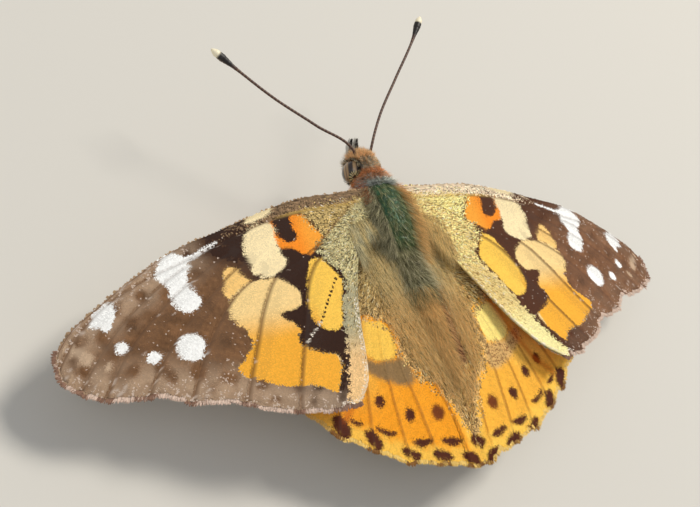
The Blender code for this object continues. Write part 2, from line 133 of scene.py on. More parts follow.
# How much each wing's margin has worn away, from the tip to the inner edge.
WEAR = {
    "fore_left": (0.0,) * 10,
    "fore_right": (0.0, 0.0, 0.5, 1.0, 1.2, 0.8, 1.0, 0.5, 0.3, 0.1),
    "hind_left": (0.0,) * 8,
    "hind_right": (0.0, 0.0, 0.1, 0.0, 0.1, 0.1, 0.1, 0.0),
}

# Four colours of the short down on each wing's base, from its darkest to its palest. The right
# forewing's are paler, with painted sunlight.
DOWN_PAINTS = {
    "fore_left": ((84, 66, 38), (190, 164, 104), (232, 208, 150), (250, 240, 220)),
    "fore_right": ((150, 108, 56), (244, 220, 140), (255, 242, 180), (255, 250, 230)),
    "hind_left": ((110, 88, 54), (206, 176, 112), (244, 216, 158), (252, 240, 200)),
    "hind_right": ((124, 90, 48), (230, 188, 112), (252, 224, 150), (255, 244, 196)),
}
# How far each forewing's inner edge swings out, and the power that sets where it does most.
FORE_INNER_SWING = {"left": (0.5, 1.0), "right": (-0.9, 0.7)}
# The coats shade themselves, so hair is tinted this much brighter than it looks.
HAIR_GAIN = 2.2

# How far the marks of each wing lie from where they are given, outwards and forwards.
MARK_SHIFT = {
    "fore_left": (-0.25, 0.0), "fore_right": (-0.4, 0.25),
    "hind_left": (-0.2, 0.25), "hind_right": (0.0, 0.05),
}

# A crease in the forewing's coat: on the left wing dashed dark, then with pale dashes as painted glints.
CREASE = ((7.7, -7.1), (8.8, -8.4), (10.5, -10.5), (12.4, -11.9))

# The stem at the forewing's base.
BASE_STEM = ((1.6, 0.0), (3.5, -0.85), (6.8, -3.2), (9.95, -5.3), (11.0, -6.2))

# The hindwing's inner edge.
HIND_INNER_EDGE = (
    (1.4, -5.4), (1.35, -9.2), (1.2, -12.8), (0.75, -16.0), (0.05, -18.3), (-0.12, -20.6),
    (-0.15, -24.0),
)

# Marks on the forewing's upper side: name, colour, softness of the edge, outline. Later ones lie
# over earlier ones.
FORE_MARKS = (
    ("costal_patch", "cream", 0.10, (
        (11.7, -0.75), (12.9, -0.85), (14.0, -1.3), (14.15, -1.75), (13.2, -1.6), (12.2, -1.3))),
    ("cell_orange", "red_orange", 0.14, (
        (8.9, -1.6), (10.3, -1.5), (12.0, -1.7), (12.2, -3.0), (12.0, -3.7), (11.6, -4.15),
        (10.8, -4.2), (10.2, -4.9), (9.6, -5.0), (8.8, -4.4), (7.9, -3.9), (7.8, -3.2), (8.4, -2.4))),
    ("cell_bar", "black_brown", 0.08, (
        (10.3, -1.45), (11.1, -1.3), (11.9, -1.5), (11.8, -2.3), (11.7, -3.0), (11.1, -3.55),
        (10.4, -3.65), (9.95, -3.1), (10.2, -2.4))),
    ("cell_end", "cream", 0.08, (
        (12.1, -1.95), (13.0, -1.85), (13.9, -2.1), (14.65, -2.8), (15.0, -3.9), (14.85, -5.1),
        (14.6, -5.9), (13.8, -6.25), (12.8, -6.1), (11.95, -5.6), (11.55, -4.9), (11.85, -4.0),
        (12.0, -3.1), (11.85, -2.4))),
    ("small_orange", "peach", 0.10, (
        (15.2, -6.3), (15.6, -5.8), (16.0, -5.2), (16.5, -4.85), (16.95, -5.2), (17.3, -6.0),
        (17.55, -6.9), (17.2, -7.3), (16.5, -7.0), (15.8, -6.6))),
    ("twin_circle", "pale_amber", 0.08, (
        (11.5, -7.8), (12.1, -6.95), (12.9, -6.4), (13.8, -6.3), (14.9, -6.35), (15.8, -6.6),
        (16.7, -7.1), (17.45, -7.8), (17.7, -8.7), (17.3, -9.4), (16.7, -9.9), (16.5, -10.8),
        (13.0, -11.2), (12.75, -10.5), (13.6, -9.3), (12.6, -9.15), (11.8, -8.8))),
    ("outer_orange", "pale_amber", 0.10, (
        (12.9, -10.3), (14.5, -9.8), (16.6, -10.1), (16.6, -11.0), (17.3, -11.9), (18.3, -12.7),
        (18.1, -13.5), (17.0, -14.1), (15.8, -14.75), (14.9, -15.1), (13.6, -15.3), (12.6, -15.9),
        (12.1, -16.3), (11.5, -15.5), (10.8, -14.3), (10.7, -13.4), (11.8, -12.95), (12.7, -12.5),
        (13.1, -12.0), (13.0, -11.2))),
    ("cubital_patch", "yellow", 0.08, (
        (8.3, -5.8), (8.9, -5.2), (9.7, -5.5), (10.2, -6.35), (10.8, -7.55), (11.35, -8.8),
        (11.5, -9.6), (11.35, -10.4), (10.8, -11.05), (10.0, -11.4), (9.3, -11.2), (8.8, -10.2),
        (8.1, -8.6), (7.5, -7.4), (7.8, -6.6))),
    ("white_streak", "white", 0.06, (
        (16.8, -2.85), (17.5, -2.95), (18.8, -3.4), (20.1, -3.7), (20.1, -4.2), (19.0, -3.75),
        (17.6, -3.2))),
    ("white_bar", "white", 0.06, (
        (19.6, -3.85), (20.0, -3.35), (20.8, -3.1), (21.6, -3.4), (21.9, -4.0), (22.3, -4.6),
        (22.0, -5.1), (21.5, -5.7), (21.65, -6.6), (21.2, -7.4), (20.5, -7.8), (19.7, -7.5),
        (19.35, -6.95), (19.7, -6.2), (20.0, -5.7), (19.8, -4.9))),
    ("apical_white", "white", 0.06, (
        (25.7, -5.95), (26.5, -5.9), (27.3, -6.5), (27.7, -7.2), (26.9, -7.4), (26.5, -7.9),
        (26.05, -7.4), (25.7, -6.7))),
    ("spot_1", "white", 0.07, (
        (25.4, -9.1), (25.8, -8.65), (26.25, -8.9), (26.2, -9.5), (25.7, -9.6))),
    ("spot_2", "white", 0.07, (
        (23.3, -10.4), (23.8, -9.95), (24.3, -10.1), (24.35, -10.6), (23.8, -10.9))),
    ("round_spot", "white", 0.07, (
        (20.1, -10.1), (20.5, -9.5), (21.2, -9.3), (21.9, -9.5), (22.3, -10.2), (22.0, -11.0),
        (21.3, -11.35), (20.5, -11.2))),
    ("tip_dot", "pale_brown", 0.2, (
        (26.7, -10.2), (27.0, -9.9), (27.4, -10.2), (27.1, -10.6))),
    ("tip_mark", "pale_brown", 0.2, (
        (27.8, -9.2), (28.5, -8.6), (29.4, -8.0), (29.6, -8.4), (28.9, -9.2), (28.2, -9.9))),
)
# The dark places that lie over the orange, and the speckled base of the forewing.
FORE_BLACKS = (
    ("below_cell", "black_brown", 0.10, (
        (9.5, -5.05), (10.1, -4.7), (10.8, -4.25), (11.6, -4.1), (11.95, -4.4), (11.6, -5.0),
        (11.9, -5.65), (12.8, -6.1), (12.8, -6.45), (12.1, -6.9), (11.5, -7.6), (11.35, -8.5),
        (11.2, -8.2), (10.8, -6.9), (10.2, -5.7))),
    ("notch", "black_brown", 0.12, (
        (11.4, -9.3), (12.1, -9.2), (13.6, -9.25), (13.4, -9.8), (12.75, -10.1), (12.6, -10.8),
        (13.1, -11.6), (12.9, -12.2), (11.9, -12.8), (10.7, -13.2), (10.0, -12.9), (9.8, -11.9),
        (10.8, -11.2), (11.5, -10.3))),
)
FORE_BASE = (
    (1.0, 1.0), (6.0, 0.4), (9.3, -0.2), (8.9, -1.4), (8.1, -2.5), (7.6, -3.5), (8.5, -4.5),
    (8.2, -5.6), (7.3, -6.6), (7.3, -7.6), (8.1, -9.0), (8.8, -10.6), (9.3, -12.0), (9.9, -13.6),
    (10.8, -15.6), (11.6, -17.6), (10.0, -18.2), (7.0, -14.5), (4.0, -9.0), (1.0, -3.0),
)
HIND_MARKS = (
    ("base_patch", "yellow", 0.10, (
        (4.6, -11.9), (5.1, -11.3), (5.9, -11.1), (6.7, -11.0), (7.1, -11.7), (7.4, -13.0),
        (7.2, -13.8), (6.4, -14.3), (5.5, -14.4), (4.8, -14.1), (4.6, -13.1))),
    ("grey_band", "taupe", 0.30, (
        (4.4, -14.6), (5.6, -14.5), (6.8, -14.4), (7.7, -13.8), (8.4, -13.5), (8.6, -14.2),
        (7.6, -15.2), (6.4, -16.0), (5.3, -16.5), (4.2, -16.6), (3.9, -15.6))),
    ("eye_1", "maroon", 0.14, (
        (9.0, -16.4), (9.4, -16.0), (9.8, -16.3), (9.7, -16.9), (9.2, -16.9))),
    ("eye_2", "maroon", 0.12, (
        (7.2, -17.3), (7.6, -16.9), (8.0, -17.3), (7.9, -17.8), (7.4, -17.8))),
    ("eye_3", "maroon", 0.12, (
        (5.0, -18.8), (5.4, -18.4), (5.85, -18.8), (5.7, -19.4), (5.2, -19.3))),
    ("eye_4", "russet", 0.20, (
        (2.35, -19.2), (2.8, -18.7), (3.4, -19.0), (3.3, -19.7), (2.7, -19.8))),
    ("crescent_1", "maroon", 0.12, (
        (9.6, -18.7), (10.0, -18.4), (10.6, -18.1), (10.4, -18.5), (9.9, -18.8))),
    ("crescent_2", "maroon", 0.12, (
        (7.1, -19.9), (7.9, -19.6), (8.6, -19.2), (8.5, -19.6), (8.0, -19.95), (7.5, -20.1))),
    ("crescent_3", "maroon", 0.12, (
        (4.2, -21.2), (5.0, -20.95), (5.9, -20.9), (5.7, -21.3), (5.0, -21.5))),
    ("crescent_4", "maroon", 0.14, (
        (1.6, -21.8), (2.3, -21.45), (3.3, -21.3), (3.3, -21.6), (2.6, -21.95), (2.0, -22.0))),
    ("tail_spot", "maroon", 0.20, (
        (-0.6, -21.9), (0.0, -21.4), (0.6, -21.7), (0.8, -22.1), (0.3, -22.5), (-0.5, -22.5))),
    ("margin_1", "maroon", 0.15, (
        (10.8, -18.6), (11.3, -17.8), (11.9, -17.8), (12.1, -18.6), (11.6, -19.5), (11.0, -19.4))),
    ("margin_2", "maroon", 0.15, (
        (8.6, -20.3), (9.1, -19.4), (9.7, -19.4), (9.6, -20.3), (9.1, -20.9), (8.7, -20.8))),
    ("margin_3", "maroon", 0.15, (
        (5.6, -22.0), (6.2, -21.6), (6.9, -21.2), (7.1, -21.5), (6.5, -22.1), (6.0, -22.4))),
    ("margin_4", "maroon", 0.15, (
        (2.9, -22.7), (3.5, -22.2), (4.5, -22.1), (4.4, -22.6), (3.8, -22.95), (3.1, -23.0))),
    ("margin_5", "maroon", 0.15, (
        (0.5, -23.4), (1.0, -22.9), (1.9, -22.8), (1.9, -23.3), (1.2, -23.9), (0.6, -23.9))),
)

# Display colours of the forewing's base: in the cell, behind it, along the inner edge near the root
# and near the margin, and on the front edge. The right wing's are paler, with painted sunlight.
FORE_BASE_PAINTS = {
    "left": ((196, 168, 108), (190, 184, 140), (176, 168, 136), (238, 196, 138), (142, 114, 84)),
    "right": ((252, 232, 150), (240, 210, 140), (232, 204, 136), (246, 232, 164), (246, 220, 186)),
}

# The ringed spots of the hindwing's underside: x, y, radius. Then the share of the radius and the
# display colour of each ring.
UNDER_SPOTS = ((9.4, -16.4, 0.75), (7.6, -17.3, 0.6), (5.4, -18.8, 0.6), (2.9, -19.3, 0.75))
UNDER_RINGS = ((1.0, (214, 190, 120)), (0.72, (60, 42, 30)), (0.45, (96, 124, 140)))

# The part of the hindwing that down and hair cover.
HIND_BASE = (
    (1.0, -2.5), (5.0, -3.2), (9.0, -5.4), (8.4, -8.0), (7.0, -10.3), (5.6, -11.0), (4.7, -11.6),
    (4.4, -12.8), (4.5, -14.4), (3.9, -15.6), (3.4, -16.6), (2.4, -17.3), (1.8, -18.6), (1.2, -20.0),
    (0.6, -21.2), (-1.0, -21.4), (-1.0, -6.0),
)

# The body from tail to head: y, height of the middle, half width, half height, depth of the coat.
BODY_STATIONS = (
    (-17.1, 6.95, 0.45, 0.50, 0.15), (-16.2, 6.90, 0.80, 0.85, 0.20), (-14.5, 6.85, 1.15, 1.20, 0.25),
    (-12.0, 6.90, 1.50, 1.50, 0.25), (-9.5, 7.00, 1.65, 1.60, 0.25), (-7.5, 7.15, 1.55, 1.50, 0.25),
    (-6.2, 7.30, 1.35, 1.40, 0.30), (-5.0, 7.40, 1.80, 1.75, 0.30), (-3.8, 7.50, 2.10, 2.00, 0.25),
    (-2.2, 7.55, 2.25, 2.10, 0.20), (-0.6, 7.60, 2.20, 2.05, 0.20), (0.5, 7.65, 1.95, 1.75, 0.25),
    (1.2, 7.70, 1.55, 1.35, 0.25), (1.8, 7.75, 1.35, 1.20, 0.20), (2.3, 7.72, 1.05, 1.00, 0.15),
    (2.9, 7.65, 1.25, 1.20, 0.12), (3.5, 7.50, 1.30, 1.30, 0.12), (4.1, 7.35, 1.15, 1.15, 0.15),
    (4.5, 7.20, 0.75, 0.80, 0.20),
)
BODY_RINGS, BODY_SIDES = 260, 84
WING_COLUMNS, WING_ROWS, LINE_STEPS = 12, 110, 60
TUFT_HAIRS, WING_HAIRS, EYE_BRISTLES, PALP_BRISTLES, LEG_SCALES = 2200, 3300, 700, 1000, 900
HAIR_RINGS = 2
BAKE_PATCH = 0.003
EYE_RINGS, EYE_SIDES = 40, 64
EYE_CENTRE = (1.0, 3.1, 7.3)
EYE_RADII = (0.85, 0.95, 1.1)
# The eye's bars: where each starts, is full, starts to fade and ends across the eye, and its colour.
EYE_BARS = (
    (-0.72, -0.60, -0.26, -0.12, (158, 124, 80)), (-0.50, -0.44, -0.42, -0.36, (96, 66, 40)),
    (0.22, 0.30, 0.5, 0.62, (150, 120, 82)),
)
ANTENNA_PATHS = {
    "left": ((-0.6, 3.7, 8.1), (-0.95, 4.4, 8.55), (-4.0, 6.9, 9.05), (-7.35, 9.55, 9.55),
             (-10.5, 12.35, 10.3), (-12.1, 13.8, 10.7)),
    "right": ((0.6, 3.7, 8.1), (0.85, 4.4, 8.6), (2.6, 7.25, 9.6), (5.05, 10.25, 10.8),
              (7.95, 13.75, 12.3), (9.3, 15.7, 13.0)),
}
PALP_PATH = ((0.42, 3.8, 7.0), (0.40, 4.7, 6.95), (0.34, 5.4, 7.35), (0.27, 5.95, 8.05))
TONGUE_CENTRE = (4.1, 5.35)
TONGUE_OUTER = 0.85
TONGUE_PITCH = 0.62
TONGUE_TURNS = 1.1
FOOT_Z = 0.2
LEG_PATHS = {
    "front": ((0.75, 0.5, 7.0, 0.4), (0.85, 1.1, 5.9, 0.36), (1.0, 1.9, 5.3, 0.3),
              (1.15, 2.4, 4.9, 0.27), (1.1, 1.5, 4.65, 0.25), (1.0, 0.3, 4.6, 0.25)),
    "middle": ((0.9, -1.2, 7.0, 0.5), (1.5, -1.3, 5.5, 0.42), (3.4, -1.0, 5.5, 0.38),
               (5.2, -0.6, 5.7, 0.3), (6.3, 0.0, 3.4, 0.28), (7.3, 0.6, 1.1, 0.26),
               (8.2, 1.0, FOOT_Z, 0.25), (9.3, 1.4, FOOT_Z, 0.25), (10.4, 1.8, FOOT_Z, 0.25)),
    "hind": ((0.9, -3.9, 7.0, 0.5), (1.4, -4.3, 5.5, 0.42), (2.8, -5.7, 5.3, 0.38),
             (4.2, -7.1, 5.3, 0.3), (4.8, -8.4, 3.1, 0.28), (5.4, -9.7, 1.1, 0.26),
             (6.0, -10.9, FOOT_Z, 0.25), (6.6, -12.2, FOOT_Z, 0.25), (7.1, -13.5, FOOT_Z, 0.25)),
}

# The photograph's camera: its place, the directions of the picture's right and up, and its focal
# length in pixels of the 700 pixel wide picture.
CAMERA_PLACE = (-55.81, -38.59, 72.44)
CAMERA_RIGHT = (0.8148, -0.3736, 0.4433)
CAMERA_UP = (0.1042, 0.8466, 0.5219)
FOCAL_PIXELS = 1100.0
PICTURE_WIDTH = 700.0
SENSOR_MM = 36.0
CLIP_START = 0.001

# Each lamp: name, place, target, power in watts, width in millimetres, colour.
LAMPS = (
    ("key", (270, 80, 470), (0, -8, 6), 2.3, 160, (1.0, 0.96, 0.88)),
    ("fill", (-300, -120, 360), (0, -8, 6), 0.35, 300, (0.97, 0.98, 1.0)),
)
ROOM_COLOUR, ROOM_STRENGTH = (0.93, 0.96, 1.0, 1.0), 0.42
FLOOR_HALF_WIDTH = 2.0

# Each finish: roughness, strength and size of its bump, mottling, and what is set on the shader.
FINISHES = {
    "wing scale": dict(roughness=0.7, mottle=0.05, mottle_size=0.8, Specular_IOR_Level=0.12),
    "wing membrane": dict(roughness=0.7, bump=0.4, bump_size=0.08, mottle=0.08, Specular_IOR_Level=0.2),
    "hair": dict(roughness=0.5, mottle=0.05, mottle_size=0.5, Specular_IOR_Level=0.3),
    "cuticle": dict(roughness=0.36, metallic=0.2, bump=0.7, bump_size=0.12, mottle=0.3,
                    mottle_size=0.35),
    "horn": dict(roughness=0.42, bump=0.3, bump_size=0.05, mottle=0.15, mottle_size=0.1),
    "compound eye": dict(roughness=0.22, bump=0.25, bump_size=0.03, mottle=0.12, mottle_size=0.06,
                         Coat_Weight=0.6, Coat_Roughness=0.08),
}


def linear(red, green, blue):
    """An 8-bit display colour as the linear values that Blender's colours hold."""
    shares = np.array([red, green, blue]) / 255.0
    return tuple(np.where(shares <= 0.04045, shares / 12.92, ((shares + 0.055) / 1.055) ** 2.4))


def colour(name, red, green, blue):
    """A colour property with that display colour as its default."""
    return FloatVectorProperty(
        name=name, description=name + " of the insect, as linear red, green and blue",
        default=linear(red, green, blue), size=3, min=0.0, max=1.0, subtype="COLOR",
    )


def size(name, description, millimetres):
    """A length property with that default."""
    return FloatProperty(
        name=name, description=description, default=millimetres * MM, min=0.0,
        subtype="DISTANCE", unit="LENGTH", precision=6,
    )


class ButterflyColours(bpy.types.PropertyGroup):
    """The colours of the scales, veins and hair"""

    black_brown: colour("Black-brown scales", 52, 30, 20)
    # The right forewing's dark ground, paler with painted sunlight.
    painted_sunlit_black: colour("Dark scales of the sunlit wing", 80, 46, 28)
    chocolate: colour("Chocolate scales", 118, 84, 56)
    # The right forewing's brown ground, paler with painted sunlight.
    painted_sunlit_brown: colour("Brown scales of the sunlit wing", 122, 84, 58)
    pale_brown: colour("Pale brown scales", 194, 166, 138)
    # Pale scales that are painted glints of light on the dark forewing.
    painted_glint: colour("Frosted scales of the margin", 212, 192, 176)
    vein: colour("Dark veins", 96, 58, 22)
    red_orange: colour("Red-orange scales", 245, 142, 34)
    amber: colour("Amber scales", 243, 174, 56)
    pale_amber: colour("Pale amber scales", 246, 212, 146)
    peach: colour("Peach scales", 245, 200, 122)
    yellow: colour("Yellow scales", 249, 200, 84)
    pale_yellow: colour("Pale yellow scales", 253, 228, 132)
    cream: colour("Cream scales", 247, 226, 178)
    white: colour("White scales", 250, 249, 246)
    orange: colour("Orange hindwing scales", 246, 160, 32)
    maroon: colour("Maroon spots", 80, 36, 18)
    russet: colour("Russet spots", 116, 56, 18)
    taupe: colour("Taupe band", 142, 112, 72)
    tan_hair: colour("Tan hair", 214, 172, 108)
    olive_hair: colour("Olive hair", 190, 170, 116)
    green_cuticle: colour("Green cuticle", 30, 66, 40)
    collar_hair: colour("Collar hair", 168, 100, 56)
    grey_hair: colour("Grey hair", 104, 112, 108)


class ButterflySizes(bpy.types.PropertyGroup):
    """The sizes of the fine parts"""

    membrane: size("Membrane", "Thickness of the wing membrane", 0.12)
    vein_height: size("Vein height", "How far a vein stands above the membrane", 0.035)
    vein_width: size("Vein width", "Half width of a vein", 0.10)
    scale_length: size("Scale length", "Length of a wing scale", 0.24)
    scale_width: size("Scale width", "Width of a wing scale", 0.15)
    scale_spacing: size("Scale spacing", "Spacing of the upper side's scales", 0.092)
    fringe_length: size("Fringe length", "Length of the fringe at the wing margins", 0.45)
    shaft_radius: size("Antenna radius", "Radius of the antenna's shaft", 0.12)
    club_radius: size("Club radius", "Radius of the antenna's club", 0.34)


def place(points):
    """Millimetres in the insect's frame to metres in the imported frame."""
    return (np.asarray(points, float) + SHIFT) * MM


def unit(vectors):
    """The vectors at length 1."""
    return vectors / np.maximum(np.linalg.norm(vectors, axis=-1, keepdims=True), 1e-9)


def smoothstep(low, high, values):
    """0 up to low, 1 from high on, and the cubic 3t^2 - 2t^3 between them."""
    share = np.clip((values - low) / (high - low), 0, 1)
    return share * share * (3 - 2 * share)


def waves(x, y, size_mm, seed):
    """Smooth noise from about -1 to 1: the sum of eight plane waves of like length, turned at random."""
    rng = np.random.default_rng(seed)
    total = 0 * x
    for _ in range(8):
        turn, phase = rng.uniform(0, 2 * np.pi, 2)
        length = size_mm * rng.uniform(0.7, 1.4)
        total = total + np.sin((x * np.cos(turn) + y * np.sin(turn)) * 2 * np.pi / length + phase)
    return total / 4


def smooth_curve(points, shares):
    """Points at shares of the way along a cubic Hermite spline over the points' chord lengths."""
    points = np.asarray(points, float)
    steps = np.linalg.norm(np.diff(points, axis=0), axis=1)
    knots = np.concatenate([[0.0], np.cumsum(steps)])
    tangents = np.gradient(points, knots, axis=0)
    where = np.asarray(shares, float) * knots[-1]
    index = np.clip(np.searchsorted(knots, where, side="right") - 1, 0, len(points) - 2)
    span = steps[index][..., None]
    t = ((where - knots[index]) / steps[index])[..., None]
    start, end = points[index], points[index + 1]
    return (
        (2 * t**3 - 3 * t**2 + 1) * start
        + (t**3 - 2 * t**2 + t) * tangents[index] * span
        + (3 * t**2 - 2 * t**3) * end
        + (t**3 - t**2) * tangents[index + 1] * span
    )


def closed_outline(points, steps=5):
    """A closed Catmull-Rom curve through the points, with that many steps between two of them."""
    p1 = np.asarray(points, float)
    p0, p2, p3 = np.roll(p1, 1, 0), np.roll(p1, -1, 0), np.roll(p1, -2, 0)
    t = (np.arange(steps) / steps)[None, :, None]
    p0, p1, p2, p3 = (p[:, None, :] for p in (p0, p1, p2, p3))
    curve = p1 + 0.5 * t * (p2 - p0 + t * (2 * p0 - 5 * p1 + 4 * p2 - p3 + t * (3 * (p1 - p2) + p3 - p0)))
    return curve.reshape(-1, 2)


def segment_distance(x, y, starts, ends):
    """Distance from each point to the nearest of the segments."""
    step = ends - starts
    away_x, away_y = x[:, None] - starts[:, 0], y[:, None] - starts[:, 1]
    share = (away_x * step[:, 0] + away_y * step[:, 1]) / np.maximum((step**2).sum(axis=1), 1e-12)
    share = np.clip(share, 0, 1)
    return np.sqrt(((away_x - share * step[:, 0]) ** 2 + (away_y - share * step[:, 1]) ** 2).min(axis=1))


def signed_distance(x, y, outline, reach=0.8):
    """Distance to a closed outline, negative inside. Points further out than reach just get reach."""
    ends = np.roll(outline, -1, axis=0)
    low, high = outline.min(axis=0) - reach, outline.max(axis=0) + reach
    near = np.flatnonzero((x > low[0]) & (x < high[0]) & (y > low[1]) & (y < high[1]))
    result = np.full(len(x), reach)
    px, py = x[near], y[near]
    crosses = (outline[:, 1] > py[:, None]) != (ends[:, 1] > py[:, None])
    rise = np.where(ends[:, 1] == outline[:, 1], 1e-9, ends[:, 1] - outline[:, 1])
    at = outline[:, 0] + (py[:, None] - outline[:, 1]) * (ends[:, 0] - outline[:, 0]) / rise
    inside = ((crosses & (px[:, None] < at)).sum(axis=1) % 2) == 1
    result[near] = segment_distance(px, py, outline, ends) * np.where(inside, -1, 1)
    return result


def fill_mesh(name, points, *face_arrays):
    """A mesh from points in metres and arrays of triangles or quads."""
    mesh = bpy.data.meshes.new(name)
    corners = np.concatenate([faces.ravel() for faces in face_arrays])
    sizes = np.concatenate([np.full(len(faces), faces.shape[1]) for faces in face_arrays])
    mesh.vertices.add(len(points))
    mesh.vertices.foreach_set("co", np.asarray(points, np.float32).ravel())
    mesh.loops.add(len(corners))
    mesh.loops.foreach_set("vertex_index", corners.astype(np.int32))
    mesh.polygons.add(len(sizes))
    mesh.polygons.foreach_set("loop_start", (np.cumsum(sizes) - sizes).astype(np.int32))
    mesh.update(calc_edges=True)
    mesh.validate()
    return mesh


def new_piece(name, mesh, material, tint=None, replaced=(), smooth=True):
    """Puts the mesh in the scene on the insect's body, with its colours in the attribute tint."""
    if tint is not None:
        rgba = np.ones((len(mesh.vertices), 4), np.float32)
        rgba[:, :3] = np.clip(tint, 0, 1)
        mesh.color_attributes.new("tint", "FLOAT_COLOR", "POINT").data.foreach_set("color", rgba.ravel())
    mesh.materials.append(material)
    if smooth:
        mesh.shade_smooth()
    else:
        mesh.shade_flat()
    piece = bpy.data.objects.new(name, mesh)
    bpy.context.scene.collection.objects.link(piece)
    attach(piece, BODY)
    if replaced:
        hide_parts(*replaced)
    return piece


def closed_rings(rings, sides):
    """Faces over closed rings of points: quads between neighbouring rings, and triangles from the
    first and last ring to two more points, numbered after all the rings."""
    row, column = np.arange(rings - 1)[:, None] * sides, np.arange(sides)[None, :]
    after = (column + 1) % sides
    corners = (row + column, row + after, row + sides + after, row + sides + column)
    spot, last = np.arange(sides), (rings - 1) * sides
    ahead = (spot + 1) % sides
    first_cap = np.stack([np.full(sides, rings * sides), ahead, spot], axis=1)
    last_cap = np.stack([np.full(sides, rings * sides + 1), last + spot, last + ahead], axis=1)
    return np.stack(corners, axis=-1).reshape(-1, 4), first_cap, last_cap


def spokes_round(ahead, turn):
    """Unit vectors across the directions ahead, at the given turns."""
    across = unit(np.cross(ahead, UP + 0.01))
    return np.cos(turn)[:, None] * across + np.sin(turn)[:, None] * np.cross(across, ahead)


def set_bake_map(mesh, uv):
    """The map that the coat's colours are baked on, one place for each vertex."""
    corners = np.empty(len(mesh.loops), np.int32)
    mesh.loops.foreach_get("vertex_index", corners)
    mesh.uv_layers.new(name="OFBake").data.foreach_set("uv", uv[corners].astype(np.float32).ravel())


def finish(name):
    """The finish of that name, made when it is first asked for."""
    return bpy.data.materials.get(name) or make_finish(name, **FINISHES[name])


def make_finish(name, roughness, metallic=0.0, bump=0.0, bump_size=0.05, mottle=0.0, mottle_size=0.3,
                **set_on_shader):
    """A material that takes its colour from the attribute tint, mottled and bumped by noise on
    Object coordinates."""
    material = bpy.data.materials.new(name)
    material.use_nodes = True
    nodes, links = material.node_tree.nodes, material.node_tree.links
    shader = nodes["Principled BSDF"]
    shader.inputs["Roughness"].default_value = roughness
    shader.inputs["Metallic"].default_value = metallic
    for socket, value in set_on_shader.items():
        shader.inputs[socket.replace("_", " ")].default_value = value
    tint = nodes.new("ShaderNodeAttribute")
    tint.attribute_name = "tint"
    where = nodes.new("ShaderNodeTexCoord")
    shade = nodes.new("ShaderNodeHueSaturation")
    links.new(tint.outputs["Color"], shade.inputs["Color"])
    if mottle:
        spread = nodes.new("ShaderNodeTexNoise")
        spread.inputs["Scale"].default_value = 1 / (mottle_size * MM)
        span = nodes.new("ShaderNodeMapRange")
        span.inputs["To Min"].default_value = 1 - mottle
        span.inputs["To Max"].default_value = 1 + mottle
        links.new(where.outputs["Object"], spread.inputs["Vector"])
        links.new(spread.outputs["Fac"], span.inputs["Value"])
        links.new(span.outputs["Result"], shade.inputs["Value"])
    links.new(shade.outputs["Color"], shader.inputs["Base Color"])
    if bump:
        grain = nodes.new("ShaderNodeTexNoise")
        grain.inputs["Scale"].default_value = 1 / (bump_size * MM)
        lift = nodes.new("ShaderNodeBump")
        lift.inputs["Strength"].default_value = bump
        lift.inputs["Distance"].default_value = 0.05 * MM
        links.new(where.outputs["Object"], grain.inputs["Vector"])
        links.new(grain.outputs["Fac"], lift.inputs["Height"])
        links.new(lift.outputs["Normal"], shader.inputs["Normal"])
    return material


def forewing_height(x, y):
    """The forewing's middle surface: a quadratic in x and y."""
    slope = FORE_RISE[0] * x + FORE_RISE[1] * y
    return FORE_HINGE_Z + slope + FORE_BEND[0] * x * x + FORE_BEND[1] * x * y + FORE_BEND[2] * y * y


def hindwing_height(x, y):
    """The hindwing's middle surface: it falls outwards and, behind a soft break, backwards."""
    behind = HIND_BREAK_SPAN * np.log1p(np.exp((HIND_BREAK_Y - y) / HIND_BREAK_SPAN))
    near = np.clip(1 - x / ANAL_FOLD_WIDTH, 0, 1) ** 2
    fold = ANAL_FOLD_DEPTH * near * np.clip((ANAL_FOLD_START_Y - y) / 2.0, 0, 1)
    return HIND_HINGE_Z - HIND_FALL_OUT * x - HIND_FALL_BACK * behind - fold


